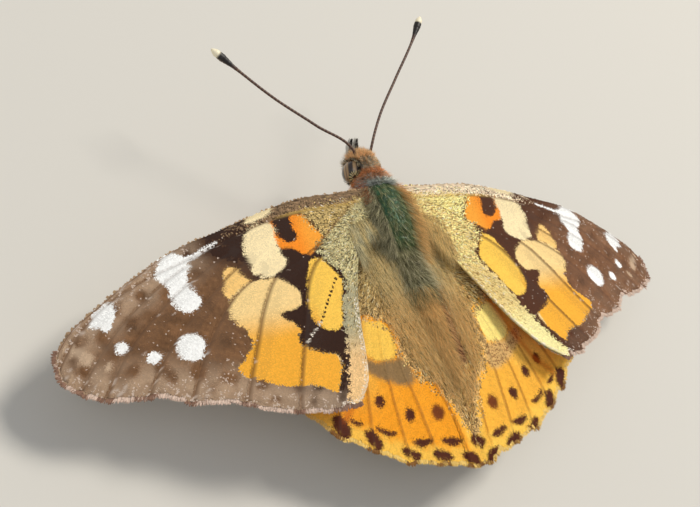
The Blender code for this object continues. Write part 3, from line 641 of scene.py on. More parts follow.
class Wing:
    """One wing's surface, veins and margin."""

    def __init__(self, pair, side, sizes):
        self.pair, self.side, self.sign = pair, side, SIDE_SIGN[side]
        self.lines = FOREWING_LINES if pair == "fore" else HINDWING_LINES
        *others, (name, points, start, drawn_in) = self.lines
        if pair == "fore":
            amount, power = FORE_INNER_SWING[side]
            swing = amount * np.sin(np.pi * np.linspace(0, 1, len(points)) ** power)
            edge = [(x + out, y) for (x, y), out in zip(points, swing)]
        else:
            edge = HIND_INNER_EDGE
        self.lines = (*others, (name, edge, start, drawn_in))
        self.height = forewing_height if pair == "fore" else hindwing_height
        self.wear = WEAR[pair + "_" + side]
        self.shift = MARK_SHIFT[pair + "_" + side]
        self.lift = 0.06 if (pair, side) == ("hind", "left") else 0.0
        self.hinge = np.array(self.lines[len(self.lines) // 2][1][0])
        self.membrane, self.vein_height = sizes.membrane / MM, sizes.vein_height / MM
        self.vein_width, self.fringe = sizes.vein_width / MM, sizes.fringe_length / MM
        self.ragged = 0.30 if side == "right" else 0.12
        shares = np.linspace(0, 1, LINE_STEPS)
        runs = [smooth_curve(points, np.clip(shares, start, 1)) for _, points, start, _ in self.lines]
        self.vein_starts = np.concatenate([run[:-1] for run in runs])
        self.vein_ends = np.concatenate([run[1:] for run in runs])
        self.grid = self.columns(WING_COLUMNS, WING_ROWS)
        edge = np.concatenate([self.grid[0], self.grid[1:-1, -1], self.grid[-1][::-1]])
        self.outline = edge[np.linalg.norm(edge - np.roll(edge, 1, axis=0), axis=1) > 1e-6]

    def columns(self, across_steps, rows):
        """The wing as (across, row, xy). Between two lines a column is their mix, and its end is
        drawn in by the wear, the scallop, the fringe and a ragged tear."""
        shares = np.linspace(0.0, 1.0, rows)
        found = []
        for number, ((_, points, _, drawn_in), following) in enumerate(zip(self.lines, self.lines[1:])):
            last = number == len(self.lines) - 2
            length = math.dist(points[0], points[-1])
            for across in np.arange(across_steps + last) / across_steps:
                trim = self.wear[number] * (1 - across) + self.wear[number + 1] * across
                trim += drawn_in * 4 * across * (1 - across) + 0.8 * self.fringe
                tear = waves(np.array(number + across), np.array(0.0), 0.9, 7)
                tear += 0.6 * waves(np.array(number + across), np.array(0.0), 0.27, 8)
                trim += self.ragged * float(tear)
                reach = shares * (1 - trim / length)
                here, there = smooth_curve(points, reach), smooth_curve(following[1], reach)
                found.append(here * (1 - across) + there * across)
        return np.array(found)

    def vein_distance(self, x, y):
        """Distance from each point to the nearest vein."""
        found = np.full(len(x), 9.0)
        for start in range(0, len(self.vein_starts), LINE_STEPS - 1):
            part = slice(start, start + LINE_STEPS - 1)
            away = segment_distance(x, y, self.vein_starts[part], self.vein_ends[part])
            found = np.minimum(found, away)
        return found

    def relief(self, x, y):
        """Height of the veins above the membrane, and the shallow troughs between them."""
        away = self.vein_distance(x, y)
        trough = 0.07 * (1 - np.exp(-((away / 0.9) ** 2)))
        return self.vein_height * np.exp(-((away / self.vein_width) ** 2)), trough

    def surface(self, x, y, face):
        """Points on the upper (face 1) or lower (face -1) side of the wing."""
        vein, trough = self.relief(x, y)
        z = self.height(x, y) - trough + self.lift * (x < 1.5) + face * (self.membrane / 2 + vein)
        return np.stack([self.sign * x, y, z], axis=-1)

    def normal(self, x, y, face):
        """The normal of the middle surface, from its slopes over a small step."""
        step = 0.02
        slope_x = (self.height(x + step, y) - self.height(x - step, y)) / (2 * step)
        slope_y = (self.height(x, y + step) - self.height(x, y - step)) / (2 * step)
        return unit(np.stack([-self.sign * slope_x, -slope_y, np.ones_like(x)], axis=-1)) * face

    def lie(self, x, y):
        """The direction from the hinge outwards in plan, which scales and hairs follow."""
        away = unit(np.stack([x - self.hinge[0], y - self.hinge[1] + 0.2 * np.abs(x)], axis=-1))
        slope = (self.height(x + 0.05 * away[:, 0], y + 0.05 * away[:, 1]) - self.height(x, y)) / 0.05
        return unit(np.stack([self.sign * away[:, 0], away[:, 1], slope], axis=-1))

    def bake_place(self, x, y):
        """Places on the bake map: the wing's plan fitted to the square."""
        low, high = self.outline.min(axis=0), self.outline.max(axis=0)
        return np.stack([(x - low[0]) / (high[0] - low[0]), (y - low[1]) / (high[1] - low[1])], -1) * 0.99


def tinted(paint, count):
    """One colour for each of count places."""
    return np.tile(np.asarray(paint), (count, 1))


def lay(tint, cover, paint):
    """The tint with the paint over it, at the share that cover gives."""
    return tint * (1 - cover[:, None]) + np.asarray(paint) * cover[:, None]


def lay_marks(tint, x, y, marks, shift, colours, ragged, grow=0.0):
    """Lays each mark over the tint: full inside its outline, fading over its soft edge."""
    for _, paint, soft, points in marks:
        away = signed_distance(x, y, closed_outline(points) + np.array(shift)) + ragged - grow
        tint = lay(tint, 1 - smoothstep(-soft, soft, away), getattr(colours, paint))
    return tint


def polyline_distance(x, y, points):
    """Distance from each point to an open line, and how far along the line the nearest place is."""
    points = np.asarray(points, float)
    found, along, gone = np.full(len(x), 9.0), np.zeros(len(x)), 0.0
    for start, end in zip(points, points[1:]):
        step = end - start
        length = float(np.hypot(*step))
        share = np.clip(((x - start[0]) * step[0] + (y - start[1]) * step[1]) / length**2, 0, 1)
        away = np.hypot(x - start[0] - share * step[0], y - start[1] - share * step[1])
        along = np.where(away < found, gone + share * length, along)
        found = np.minimum(found, away)
        gone += length
    return found, along


def grainy(x, y, rng, dark, pale, seed):
    """A factor for each scale: darker ones and paler ones gathered in small groups."""
    groups = waves(x, y, 0.42, seed)
    draw = rng.random(len(x))
    factor = np.where(draw < dark * (1 + 0.9 * groups), 0.34, 1.0)
    return np.where(draw > 1 - pale * (1 - 0.7 * groups), 1.55, factor) * (1 + 0.12 * groups)


def speckle(rng, count, paints, shares):
    """One of the paints for each scale, drawn with those shares."""
    return np.asarray(paints)[rng.choice(len(paints), size=count, p=shares)]


def hair_shade(x, y, rng, dark):
    """Brightness of each hair: a share of dark ones, some pale ones, tufts that differ, and chance."""
    tufts = 1 + 0.3 * waves(x, y, 0.7, 61)
    draw = rng.random(len(x))
    each = np.where(draw < dark, 0.3, np.where(draw > 0.82, 1.6, 1.0))
    return HAIR_GAIN * each * tufts * rng.uniform(0.8, 1.2, len(x))


def forewing_tint(wing, x, y, colours, rng):
    """The forewing's upper side: dark ground, marks, dark veins, a margin with pale patches and with pale
    scales that are painted glints, speckled base and pale front edge. The right wing's colours are painted
    paler and warmer, as painted sunlight."""
    count, left = len(x), wing.side == "left"
    ragged = rng.normal(0, 0.05, count) + 0.05 * waves(x, y, 0.7, 11)
    edge = -signed_distance(x, y, wing.outline, 3.0)
    # The right wing takes the ground colours that are painted paler with painted sunlight.
    black = np.asarray(colours.black_brown if left else colours.painted_sunlit_black)
    ground = smoothstep(12.5, 18.0, x - 0.5 * waves(x, y, 2.4, 12))
    tint = lay(np.tile(black, (count, 1)), ground, colours.chocolate if left else colours.painted_sunlit_brown)
    tint = tint * (1 + 0.20 * waves(x, y, 1.6, 13) + 0.14 * waves(x, y, 0.5, 14))[:, None]
    tint = lay(tint, 0.75 * smoothstep(-5.8, -3.6, y) * smoothstep(23.0, 19.0, x), black)
    outer = smoothstep(13.0, 16.0, x - 0.55 * y - 6.0)
    rim = (1 - smoothstep(0.15, 1.3, edge + 0.45 * waves(x, y, 1.1, 15))) * outer
    patchy = smoothstep(-0.9, 0.4, waves(x, y, 1.9, 51)) * smoothstep(3.6, 0.8, edge) * outer
    tint = lay(tint, (0.55 * rim + 0.7 * patchy * (1 - rim)) * (1.0 if left else 0.15), colours.pale_brown)
    tint = lay_marks(tint, x, y, FORE_MARKS, wing.shift, colours, ragged)
    bright = tint[:, 0] > 0.5
    tint = lay(tint, smoothstep(-8.4, -11.4, y) * bright * (x > 10.5) * (x < 19), colours.amber)
    tint = lay(tint, 0.3 * smoothstep(10.0, 8.4, x) * (y > -5.2) * (y < -1.2) * bright, colours.yellow)
    tint = lay_marks(tint, x, y, FORE_BLACKS, wing.shift, colours, ragged)
    tint = np.where((tint.sum(axis=1) < 0.12)[:, None], black, tint)
    vein = np.exp(-((wing.vein_distance(x, y) / 0.055) ** 2))
    on_pale = smoothstep(0.5, 0.9, tint.sum(axis=1))
    tint = lay(tint, vein * on_pale * np.where(tint[:, 2] > 0.5, 0.3, 0.75), colours.vein)
    tint = lay(tint, 0.2 * vein * (1 - on_pale), black)
    # Along the left wing's crease: dark dashes, then pale dashes beyond 4.4 mm that are painted glints.
    crease, along = polyline_distance(x, y, CREASE)
    dashes = left & (crease < 0.09) & (np.sin(along * 15) > -0.1)
    tint = np.where((dashes & (along < 4.4))[:, None], black, tint)
    tint = np.where((dashes & (along > 4.4))[:, None], linear(232, 222, 206), tint)
    tint = forewing_base(wing, x, y, tint, colours, rng, edge)
    # Painted glints: pale scales strewn over the dark ground, in clusters at the rim (more on the left wing)
    # and in patches towards the hind margin.
    glint_clusters = rim * smoothstep(-0.2, 0.6, waves(x, y, 0.9, 18))
    painted_glint = 0.004 + 0.012 * outer + (0.42 if left else 0.15) * glint_clusters
    painted_glint += 0.16 * smoothstep(-10.5, -13.0, y) * smoothstep(0.1, 0.7, waves(x, y, 1.2, 19)) * (x > 15)
    painted_glint_scales = (rng.random(count) < painted_glint) & (tint.sum(axis=1) < 0.9)
    return lay(tint, 0.7 * painted_glint_scales, colours.painted_glint)


def forewing_base(wing, x, y, tint, colours, rng, edge):
    """The speckled base, the strip along the inner edge and the pale front edge of the forewing."""
    in_cell, behind_cell, inner_strip, strip_end, front_edge = (
        linear(*paint) for paint in FORE_BASE_PAINTS[wing.side]
    )
    base = signed_distance(x, y, closed_outline(FORE_BASE) + np.array(wing.shift), 3.0)
    loose = 0.2 + 0.5 * smoothstep(6.0, 7.5, x) * (y > -5.6)
    part = 1 - smoothstep(-loose, loose, base + 0.2 * waves(x, y, 0.8, 16))
    covered = rng.random(len(x)) < part
    cell = tinted(in_cell, len(x))
    stem, _ = polyline_distance(x, y, BASE_STEM)
    stem_y = np.interp(x, *np.transpose(BASE_STEM))
    behind = smoothstep(0.1, -0.4, y - stem_y)
    cell = lay(cell, 0.85 * behind, behind_cell)
    strip = smoothstep(-7.0, -8.6, y) * smoothstep(-0.6, 0.2, 1.0 - edge * 0.25)
    cell = lay(cell, 0.9 * strip, inner_strip)
    cell = lay(cell, smoothstep(-11.0, -14.5, y), strip_end)
    turn = np.arctan2(y - wing.hinge[1], x - wing.hinge[0])
    streaks = waves(turn * 16, 0.3 * np.hypot(x, y), 1.0, 17)
    calm = 1 - 0.75 * strip
    grain = 1 + calm * (grainy(x, y, rng, 0.26, 0.22, 20) * (1 + 0.16 * streaks) - 1)
    cell = cell * grain[:, None]
    cell = lay(cell, 0.75 * np.exp(-((stem / 0.09) ** 2)) * smoothstep(2.5, 5.0, x), colours.vein)
    tint = np.where(covered[:, None], cell, tint)
    dotted = (edge < 0.28) & (y < -9.0) & (x < 11.9) & (rng.random(len(x)) < 0.35)
    tint = lay(tint, 0.8 * dotted, linear(244, 232, 214))
    front = smooth_curve(FOREWING_LINES[1][1], np.linspace(0, 1, 80))
    above = y - np.interp(x, front[:, 0], front[:, 1])
    costal = smoothstep(-0.08, 0.12, above) * smoothstep(17.0, 11.5, x)
    streak = 0.5 + 0.5 * waves(0.22 * x, 3 * y, 0.8, 21)
    paint = np.asarray(front_edge)
    costal_tint = paint * (grainy(x, y, rng, 0.22, 0.2, 22) * (0.62 + 0.5 * streak))[:, None]
    tint = np.where((rng.random(len(x)) < 0.95 * costal)[:, None], costal_tint, tint)
    gold = np.exp(-((above / 0.10) ** 2)) * smoothstep(12.0, 9.5, x) * smoothstep(2.0, 4.0, x)
    tint = lay(tint, 0.6 * gold, linear(206, 168, 88))
    ragged = rng.normal(0, 0.06, len(x))
    return lay_marks(tint, x, y, FORE_MARKS[:1], wing.shift, colours, ragged)


def hindwing_tint(wing, x, y, colours, rng):
    """The hindwing's upper side: orange ground, paler margin, marks, tan base and veins, with painted
    shade where the forewing lies over it, a painted shadow along the forewing's inner edge and, on the
    right wing, painted shade in the gap beside the abdomen.
    """
    count = len(x)
    ragged = rng.normal(0, 0.045, count) + 0.04 * waves(x, y, 0.7, 21)
    tint = tinted(colours.orange, count)
    edge = -signed_distance(x, y, wing.outline, 3.0)
    upper = smoothstep(-18.5, -14.5, y) * smoothstep(5.5, 8.5, x)
    right = wing.side == "right"
    tint = lay(tint, 0.6 * upper, colours.pale_yellow if right else colours.yellow)
    if right:
        tint = lay(tint, 0.45 + 0 * x, colours.yellow)
    rim = 1 - smoothstep(0.5, 1.7, edge + 0.2 * waves(x, y, 1.0, 22))
    tint = lay(tint, 0.8 * rim * (y < -15), colours.yellow)
    vein = np.exp(-((wing.vein_distance(x, y) / 0.065) ** 2))
    tint = lay(tint, 0.6 * vein * (1 - rim), linear(150, 84, 24))
    swaps = {"taupe": "tan_hair", "yellow": "pale_yellow"} if right else {}
    marks = [(name, swaps.get(paint, paint), soft, points) for name, paint, soft, points in HIND_MARKS]
    tint = lay_marks(tint, x, y, marks, wing.shift, colours, ragged, 0.04)
    if right:
        band = signed_distance(x, y, closed_outline(HIND_MARKS[1][3]) + np.array(wing.shift))
        specks = rng.random(count) < 0.35 * (1 - smoothstep(-0.4, 0.3, band))
        tint = lay(tint, 0.75 * specks, linear(120, 70, 40))
    # Painted shade on the part of the hindwing that the forewing lies over.
    forewing_overlap_shade = smoothstep(7.5, 9.5, x) * smoothstep(-15.5, -13.0, y)
    tint = lay(tint, 0.5 * forewing_overlap_shade, linear(196, 98, 28))
    # A painted shadow of the forewing's inner edge, laid along it on the hindwing.
    forewing_shadow, _ = polyline_distance(x, y, FOREWING_LINES[-1][1])
    tint = lay(tint, 0.6 * np.exp(-((forewing_shadow / 0.35) ** 2)), linear(196, 96, 14))
    base = signed_distance(x, y, closed_outline(HIND_BASE) + np.array(wing.shift), 3.0)
    inside = rng.random(count) < 1 - smoothstep(-0.5, 0.5, base + 0.3 * waves(x, y, 0.9, 24))
    nap = lay(tinted(colours.tan_hair, count), smoothstep(-12.0, -7.0, y), colours.olive_hair)
    turn = np.arctan2(y + 2.0, x)
    streaks = waves(turn * 22, 0.3 * np.hypot(x, y), 1.0, 25)
    nap = nap * (grainy(x, y, rng, 0.34, 0.2, 26) * (0.9 + 0.3 * streaks))[:, None]
    tint = np.where(inside[:, None], nap, tint)
    if right:
        # Painted shade: a dark band in the gap between the right hindwing and the abdomen, where down and
        # hair are left out.
        slit = smoothstep(2.1, 1.7, x) * smoothstep(-8.9, -9.8, y) * smoothstep(-16.2, -15.2, y)
        tint = lay(tint, 0.9 * slit, linear(84, 42, 22))
    return tint * (1 + 0.06 * waves(x, y, 0.6, 23))[:, None]


def underside_tint(wing, x, y, colours, rng):
    """The lower side: the forewing's marks on a rosy ground with an olive tip; on the hindwing olive
    and cream marbling, pale veins and a row of small ringed spots."""
    count = len(x)
    ragged = rng.normal(0, 0.06, count)
    olive, cream = np.array(linear(132, 108, 72)), np.array(linear(226, 208, 176))
    marble = smoothstep(-0.25, 0.25, waves(x, y, 2.4, 31) + 0.5 * waves(x, y, 1.1, 32) + ragged)
    tint = olive * (1 - marble[:, None]) + cream * marble[:, None]
    vein = np.exp(-((wing.vein_distance(x, y) / 0.12) ** 2))
    if wing.pair == "fore":
        rosy = tinted(linear(232, 140, 86), count)
        middle = 1 - smoothstep(16.5, 19.0, x)
        marks = lay_marks(rosy, x, y, FORE_MARKS + FORE_BLACKS, wing.shift, colours, ragged)
        tint = lay(tint, middle, marks)
        tint = lay_marks(tint, x, y, FORE_MARKS[8:14], wing.shift, colours, ragged)
        dark = smoothstep(13.5, 15.0, x) * (1 - smoothstep(18.5, 20.0, x)) * (marks[:, 2] < 0.2)
        tint = lay(tint, 0.75 * dark, colours.black_brown)
        near_edge = smoothstep(0.5, 0.1, -signed_distance(x, y, wing.outline, 3.0))
        return lay(tint, near_edge, linear(168, 140, 108))
    tint = lay(tint, 0.7 * vein, linear(240, 228, 204))
    for spot_x, spot_y, radius in UNDER_SPOTS:
        away = np.hypot(x - spot_x, y - spot_y)
        for share, paint in UNDER_RINGS:
            inside = 1 - smoothstep(radius * share - 0.08, radius * share + 0.08, away)
            tint = lay(tint, inside, linear(*paint))
    return tint


UPPER_TINT = {"fore": forewing_tint, "hind": hindwing_tint}


def wing_skin(wing, colours, material):
    """The membrane: upper and lower sheets over the wing's grid, joined round the edge."""
    across, rows = wing.grid.shape[:2]
    x, y = wing.grid[..., 0].ravel(), wing.grid[..., 1].ravel()
    rng = np.random.default_rng(101)
    points = np.concatenate([wing.surface(x, y, 1), wing.surface(x, y, -1)])
    above = UPPER_TINT[wing.pair](wing, x, y, colours, rng)
    below = underside_tint(wing, x, y, colours, rng)
    corner = (np.arange(across - 1)[:, None] * rows + np.arange(rows - 1)[None, :]).ravel()
    upper = np.stack([corner, corner + 1, corner + rows + 1, corner + rows], axis=1)
    lower = upper[:, ::-1] + across * rows
    ring = np.concatenate([
        np.arange(rows), np.arange(1, across) * rows + rows - 1,
        (across - 1) * rows + np.arange(rows - 2, -1, -1), np.arange(across - 2, 0, -1) * rows,
    ])
    below[ring] = 0.7 * above[ring]
    after = np.roll(ring, -1)
    rim = np.stack([ring, after, after + across * rows, ring + across * rows], axis=1)[:, ::-1]
    faces = np.concatenate([upper, lower, rim])
    if wing.sign < 0:
        faces = faces[:, ::-1]
    name = f"{wing.pair}wing_membrane_{wing.side}"
    mesh = fill_mesh(name, place(points), faces)
    node = f"{wing.pair}wing_{wing.side}"
    tint = 0.8 * np.concatenate([above, below])
    return new_piece(name, mesh, material, tint, (node,))


def scale_coat(name, roots, lie, normal, length, width, lift, tint, uv, material):
    """Flat scales: each is a closed wedge of four faces, narrow at its root and widest near its tip."""
    count = len(roots)
    side = np.cross(normal, lie)
    length, width, lift = (np.broadcast_to(v, count)[:, None] for v in (length, width, lift))
    root = roots - 0.006 * normal
    left = roots + 0.78 * length * lie + 0.5 * width * side + 0.35 * lift * normal
    right = roots + 0.78 * length * lie - 0.5 * width * side + 0.35 * lift * normal
    tip = roots + length * lie + lift * normal
    points = np.stack([root, left, right, tip], axis=1).reshape(-1, 3)
    faces = (4 * np.arange(count))[:, None, None] + np.array([[0, 2, 3], [0, 3, 1], [0, 1, 2], [3, 2, 1]])
    mesh = fill_mesh(name, place(points), faces.reshape(-1, 3))
    patch = BAKE_PATCH * np.array([[0, 0], [1, 0], [0, 1], [1, 1]])
    set_bake_map(mesh, (uv[:, None, :] + patch).reshape(-1, 2))
    return new_piece(name, mesh, material, np.repeat(tint, 4, axis=0), smooth=False)


def wing_points(wing, spacing, rng, margin=0.0):
    """A jittered grid of places on the wing, at least margin inside its outline."""
    low, high = wing.outline.min(axis=0), wing.outline.max(axis=0)
    x, y = np.meshgrid(np.arange(low[0], high[0], spacing), np.arange(low[1], high[1], spacing))
    x = (x + 0.5 * spacing * (np.arange(x.shape[0])[:, None] % 2)).ravel()
    y = y.ravel()
    x = x + rng.uniform(-0.35, 0.35, len(x)) * spacing
    y = y + rng.uniform(-0.35, 0.35, len(x)) * spacing
    keep = signed_distance(x, y, wing.outline, 0.5) < -margin
    return x[keep], y[keep]


def wing_scales(wing, face, spacing, sizes, colours, material):
    """Overlapping scales over one side of a wing."""
    rng = np.random.default_rng(200 + (face < 0))
    x, y = wing_points(wing, spacing, rng, 0.06)
    count = len(x)
    normal, lie = wing.normal(x, y, face), wing.lie(x, y)
    turn = rng.normal(0, 0.10, count)[:, None]
    lie = unit(lie + turn * np.cross(normal, lie))
    tint = (UPPER_TINT[wing.pair] if face > 0 else underside_tint)(wing, x, y, colours, rng)
    tint = tint * rng.uniform(0.9, 1.08, count)[:, None]
    grow = max(1.0, spacing / (sizes.scale_spacing / MM))
    length = sizes.scale_length / MM * grow * rng.uniform(0.85, 1.15, count)
    width = sizes.scale_width / MM * grow * rng.uniform(0.85, 1.15, count)
    lift = rng.uniform(0.004, 0.013, count)
    name = f"{wing.pair}wing_scales_{'upper' if face > 0 else 'lower'}_{wing.side}"
    roots = wing.surface(x, y, face)
    return scale_coat(name, roots, lie, normal, length, width, lift, tint, wing.bake_place(x, y), material)


def wing_fringe(wing, sizes, material):
    """Long narrow scales along the outer margin, brown at the vein ends and pale between them."""
    rng = np.random.default_rng(301)
    margin = wing.grid[:, -1]
    steps = np.linalg.norm(np.diff(margin, axis=0), axis=1)
    along = np.concatenate([[0.0], np.cumsum(steps)])
    count = int(along[-1] / 0.03) * 3
    where = rng.uniform(0, along[-1], count)
    x, y = np.interp(where, along, margin[:, 0]), np.interp(where, along, margin[:, 1])
    ends = np.array([points[-1] for _, points, _, _ in wing.lines])
    to_vein = np.hypot(x[:, None] - ends[:, 0], y[:, None] - ends[:, 1]).min(axis=1)
    to_vein += 0.35 * waves(where, 0 * where, 1.3, 35) + rng.normal(0, 0.12, count)
    brown = smoothstep(0.95, 0.55, to_vein)
    pale, dark = (linear(216, 190, 172), linear(128, 92, 72))
    if wing.pair == "hind":
        pale, dark = linear(244, 206, 116), linear(120, 72, 38)
    tint = lay(tinted(pale, count), 0.9 * brown, dark)
    tint = tint * rng.uniform(0.8, 1.12, count)[:, None]
    ahead_x = np.interp(where + 0.1, along, margin[:, 0]) - x
    ahead_y = np.interp(where + 0.1, along, margin[:, 1]) - y
    run = unit(np.stack([ahead_x, ahead_y], axis=-1) + 1e-6)
    out = np.stack([-run[:, 1], run[:, 0]], axis=-1)
    flow = wing.lie(x, y)[:, :2] * (wing.sign, 1)
    out *= np.sign((out * flow).sum(axis=1, keepdims=True))
    plan = unit(out + 0.5 * flow + rng.normal(0, 0.14, (count, 2)))
    lie = unit(np.stack([wing.sign * plan[:, 0], plan[:, 1], rng.normal(-0.02, 0.06, count)], axis=-1))
    normal = unit(np.cross(lie, np.cross(wing.normal(x, y, 1), lie)))
    roots = wing.surface(x, y, 1) - normal * rng.uniform(0.02, 0.12, count)[:, None] - 0.16 * lie
    length = sizes.fringe_length / MM * rng.uniform(0.6, 1.2, count) + 0.14
    name = f"{wing.pair}wing_fringe_{wing.side}"
    return scale_coat(name, roots, lie, normal, length, 0.075, 0.02, tint, wing.bake_place(x, y), material)


def wing_down(wing, material):
    """Short lance-shaped scales on the wing's base, in rows that spread from the hinge."""
    rng = np.random.default_rng(303)
    fore = wing.pair == "fore"
    x, y = wing_points(wing, 0.125 if fore else 0.10, rng, 0.0)
    base = signed_distance(x, y, closed_outline(FORE_BASE if fore else HIND_BASE) + np.array(wing.shift), 3.0)
    near, far = (-1.1, 0.3) if fore else (-1.6, -0.2)
    keep = rng.random(len(x)) < 1 - smoothstep(near, far, base + 0.3 * waves(x, y, 0.9, 24))
    if not fore and wing.side == "right":
        keep &= (x > 1.9) | (y > -9.3) | (y < -15.8)
    if fore:
        keep &= (rng.random(len(x)) < smoothstep(-15.0, -9.0, y)) & (y < -0.12 * x)
    x, y = x[keep], y[keep]
    count = len(x)
    turn = np.arctan2(y - wing.hinge[1], x - wing.hinge[0])
    rows = waves(turn * 20, 0.35 * np.hypot(x, y), 1.0, 62)
    draw = rng.random(count) - 0.10 * rows
    pick = np.searchsorted((0.26, 0.66, 0.92), draw)
    paints = np.array([linear(*paint) for paint in DOWN_PAINTS[wing.pair + "_" + wing.side]])
    tint = paints[pick] * rng.uniform(0.85, 1.15, count)[:, None]
    normal = wing.normal(x, y, 1)
    lie = wing.lie(x, y) + np.stack([-wing.sign * 0.10 * (not fore) + 0 * x, 0 * x, 0 * x], axis=-1)
    lie = unit(lie + rng.normal(0, 0.13, (count, 3)))
    length = rng.uniform(0.22, 0.48, count) * (1.0 if fore else 1.4)
    lift = rng.uniform(0.02, 0.07, count) * (1.0 if fore else 2.0)
    roots = wing.surface(x, y, 1)
    name = f"{wing.pair}wing_down_{wing.side}"
    return scale_coat(name, roots, lie, normal, length, 0.05, lift, tint, wing.bake_place(x, y), material)


def root_tuft(wing, material):
    """Long hair from the forewing's root, laid back over its inner edge and the hindwing."""
    rng = np.random.default_rng(470)
    x, y = rng.uniform(1.5, 5.0, 9000), rng.uniform(-6.2, -2.2, 9000)
    keep = signed_distance(x, y, wing.outline, 2.0) > -0.4 - 1.9 * rng.random(9000) ** 2
    keep &= signed_distance(x, y, wing.outline, 2.0) < -0.03
    x, y = x[keep][:TUFT_HAIRS], y[keep][:TUFT_HAIRS]
    count = len(x)
    inwards = -wing.sign * rng.normal(0.12, 0.12, count)
    lie = unit(np.stack([inwards, -np.ones(count), rng.uniform(0.1, 0.35, count)], axis=-1))
    bend = np.stack([0 * x, 0 * x, rng.uniform(-0.5, -0.25, count)], axis=-1)
    length = rng.uniform(0.8, 2.6, count)
    cold = smoothstep(-0.4, 0.5, waves(x, y, 1.3, 63))
    tip = lay(tinted(linear(196, 178, 128), count), 0.6 * cold, linear(140, 150, 140))
    if wing.side == "right":
        tip = tinted(linear(226, 196, 132), count)
    shade = hair_shade(x, y, rng, 0.35)[:, None]
    return hair_coat(f"forewing_tuft_{wing.side}", wing.surface(x, y, 1), lie, bend, length, 0.024,
                     0.55 * tip * shade, tip * shade, wing.bake_place(x, y), material)


def hair_coat(name, roots, lie, bend, length, width, tint, tip_tint, uv, material):
    """Tapering hairs of three sides. The middle of a hair runs from its root along lie, drawn
    aside by bend times the square of the way out, and ends in a point."""
    count = len(roots)
    length, width = (np.broadcast_to(v, count)[:, None] for v in (length, width))
    side = unit(np.cross(lie, UP + 0.01))
    above = np.cross(side, lie)
    shares = np.linspace(0, 0.62, HAIR_RINGS)
    points, tints = [], []
    for share in shares:
        middle = roots + length * (share * lie + share**2 * bend)
        for turn in np.radians((90, 210, 330)):
            spoke = np.cos(turn) * side + np.sin(turn) * above
            points.append(middle + 0.5 * width * (1 - 0.6 * share) * spoke)
            tints.append(tint * (1 - share) + tip_tint * share)
    points.append(roots + length * (lie + bend))
    tints.append(np.broadcast_to(tip_tint, tint.shape))
    tints = [each / np.maximum(each.max(axis=1, keepdims=True), 1) for each in tints]
    size_of_one = 3 * HAIR_RINGS + 1
    faces = [(0, 2, 1)]
    for ring in range(HAIR_RINGS - 1):
        for corner in range(3):
            a, b = 3 * ring + corner, 3 * ring + (corner + 1) % 3
            faces += [(a, b, b + 3), (a, b + 3, a + 3)]
    base = 3 * (HAIR_RINGS - 1)
    faces += [(base + corner, base + (corner + 1) % 3, size_of_one - 1) for corner in range(3)]
    points = np.stack(points, axis=1).reshape(-1, 3)
    faces = (size_of_one * np.arange(count))[:, None, None] + np.array(faces)
    mesh = fill_mesh(name, place(points), faces.reshape(-1, 3))
    spread = np.arange(size_of_one)
    patch = BAKE_PATCH * np.stack([(spread // 3) / HAIR_RINGS, (spread % 3) / 2], axis=-1)
    set_bake_map(mesh, (uv[:, None, :] + patch).reshape(-1, 2))
    return new_piece(name, mesh, material, np.stack(tints, axis=1).reshape(-1, 3))


def body_surface(share, angle):
    """A point of the body's skin: an ellipse about the body's axis, drawn in at the abdomen's
    rings and pressed along the thorax's seams. Angle 0 is the right side and pi/2 the back."""
    at = smooth_curve(BODY_STATIONS, share)
    y, middle, half_width, half_height, depth = np.moveaxis(at, -1, 0)
    rings = np.clip((-y - 6.6) / 10.0, 0, 1)
    groove = 0.07 * np.cos(np.pi * 8 * rings) ** 12 * (y < -6.6)
    on_thorax = smoothstep(-5.2, -4.2, y) * smoothstep(0.8, 0.0, y)
    forewing_shadow = 0.10 * np.exp(-((angle - np.pi / 2) / 0.07) ** 2) * on_thorax
    shield = 0.14 * np.exp(-(((y + 4.4) / 0.16) ** 2)) * smoothstep(0.2, 0.7, np.sin(angle))
    rough = 0.03 * waves(angle * 2, y, 0.9, 41)
    shrink = depth + groove + forewing_shadow + shield + rough
    x = (half_width - shrink) * np.cos(angle)
    z = middle + (half_height - shrink) * np.sin(angle)
    return np.stack([x, y, z], axis=-1)


def body_normal(share, angle):
    """The skin's normal, from two small steps over it."""
    along = body_surface(share + 0.002, angle) - body_surface(share - 0.002, angle)
    around = body_surface(share, angle + 0.02) - body_surface(share, angle - 0.02)
    return unit(np.cross(along, around))


def body_tint(x, y, colours):
    """The cuticle: brown head, rusty collar with a grey band, green thorax, dark abdomen."""
    tint = tinted(colours.green_cuticle, len(y))
    teal = smoothstep(-0.4, 0.9, waves(2 * x, y, 1.8, 42))
    tint = lay(tint, 0.6 * teal, linear(58, 104, 74))
    tint = lay(tint, 0.6 * smoothstep(0.0, 1.0, waves(x, 2 * y, 1.3, 43)), linear(74, 72, 36))
    tint = lay(tint, smoothstep(-5.2, -6.4, y), linear(52, 52, 38))
    tint = lay(tint, smoothstep(-8.0, -10.0, y), linear(104, 66, 36))
    tint = lay(tint, smoothstep(0.7, 1.2, y), colours.grey_hair)
    tint = lay(tint, smoothstep(1.7, 2.1, y), colours.collar_hair)
    tint = lay(tint, smoothstep(2.5, 2.9, y), linear(96, 84, 66))
    return lay(tint, smoothstep(3.4, 3.8, y), linear(140, 96, 58))


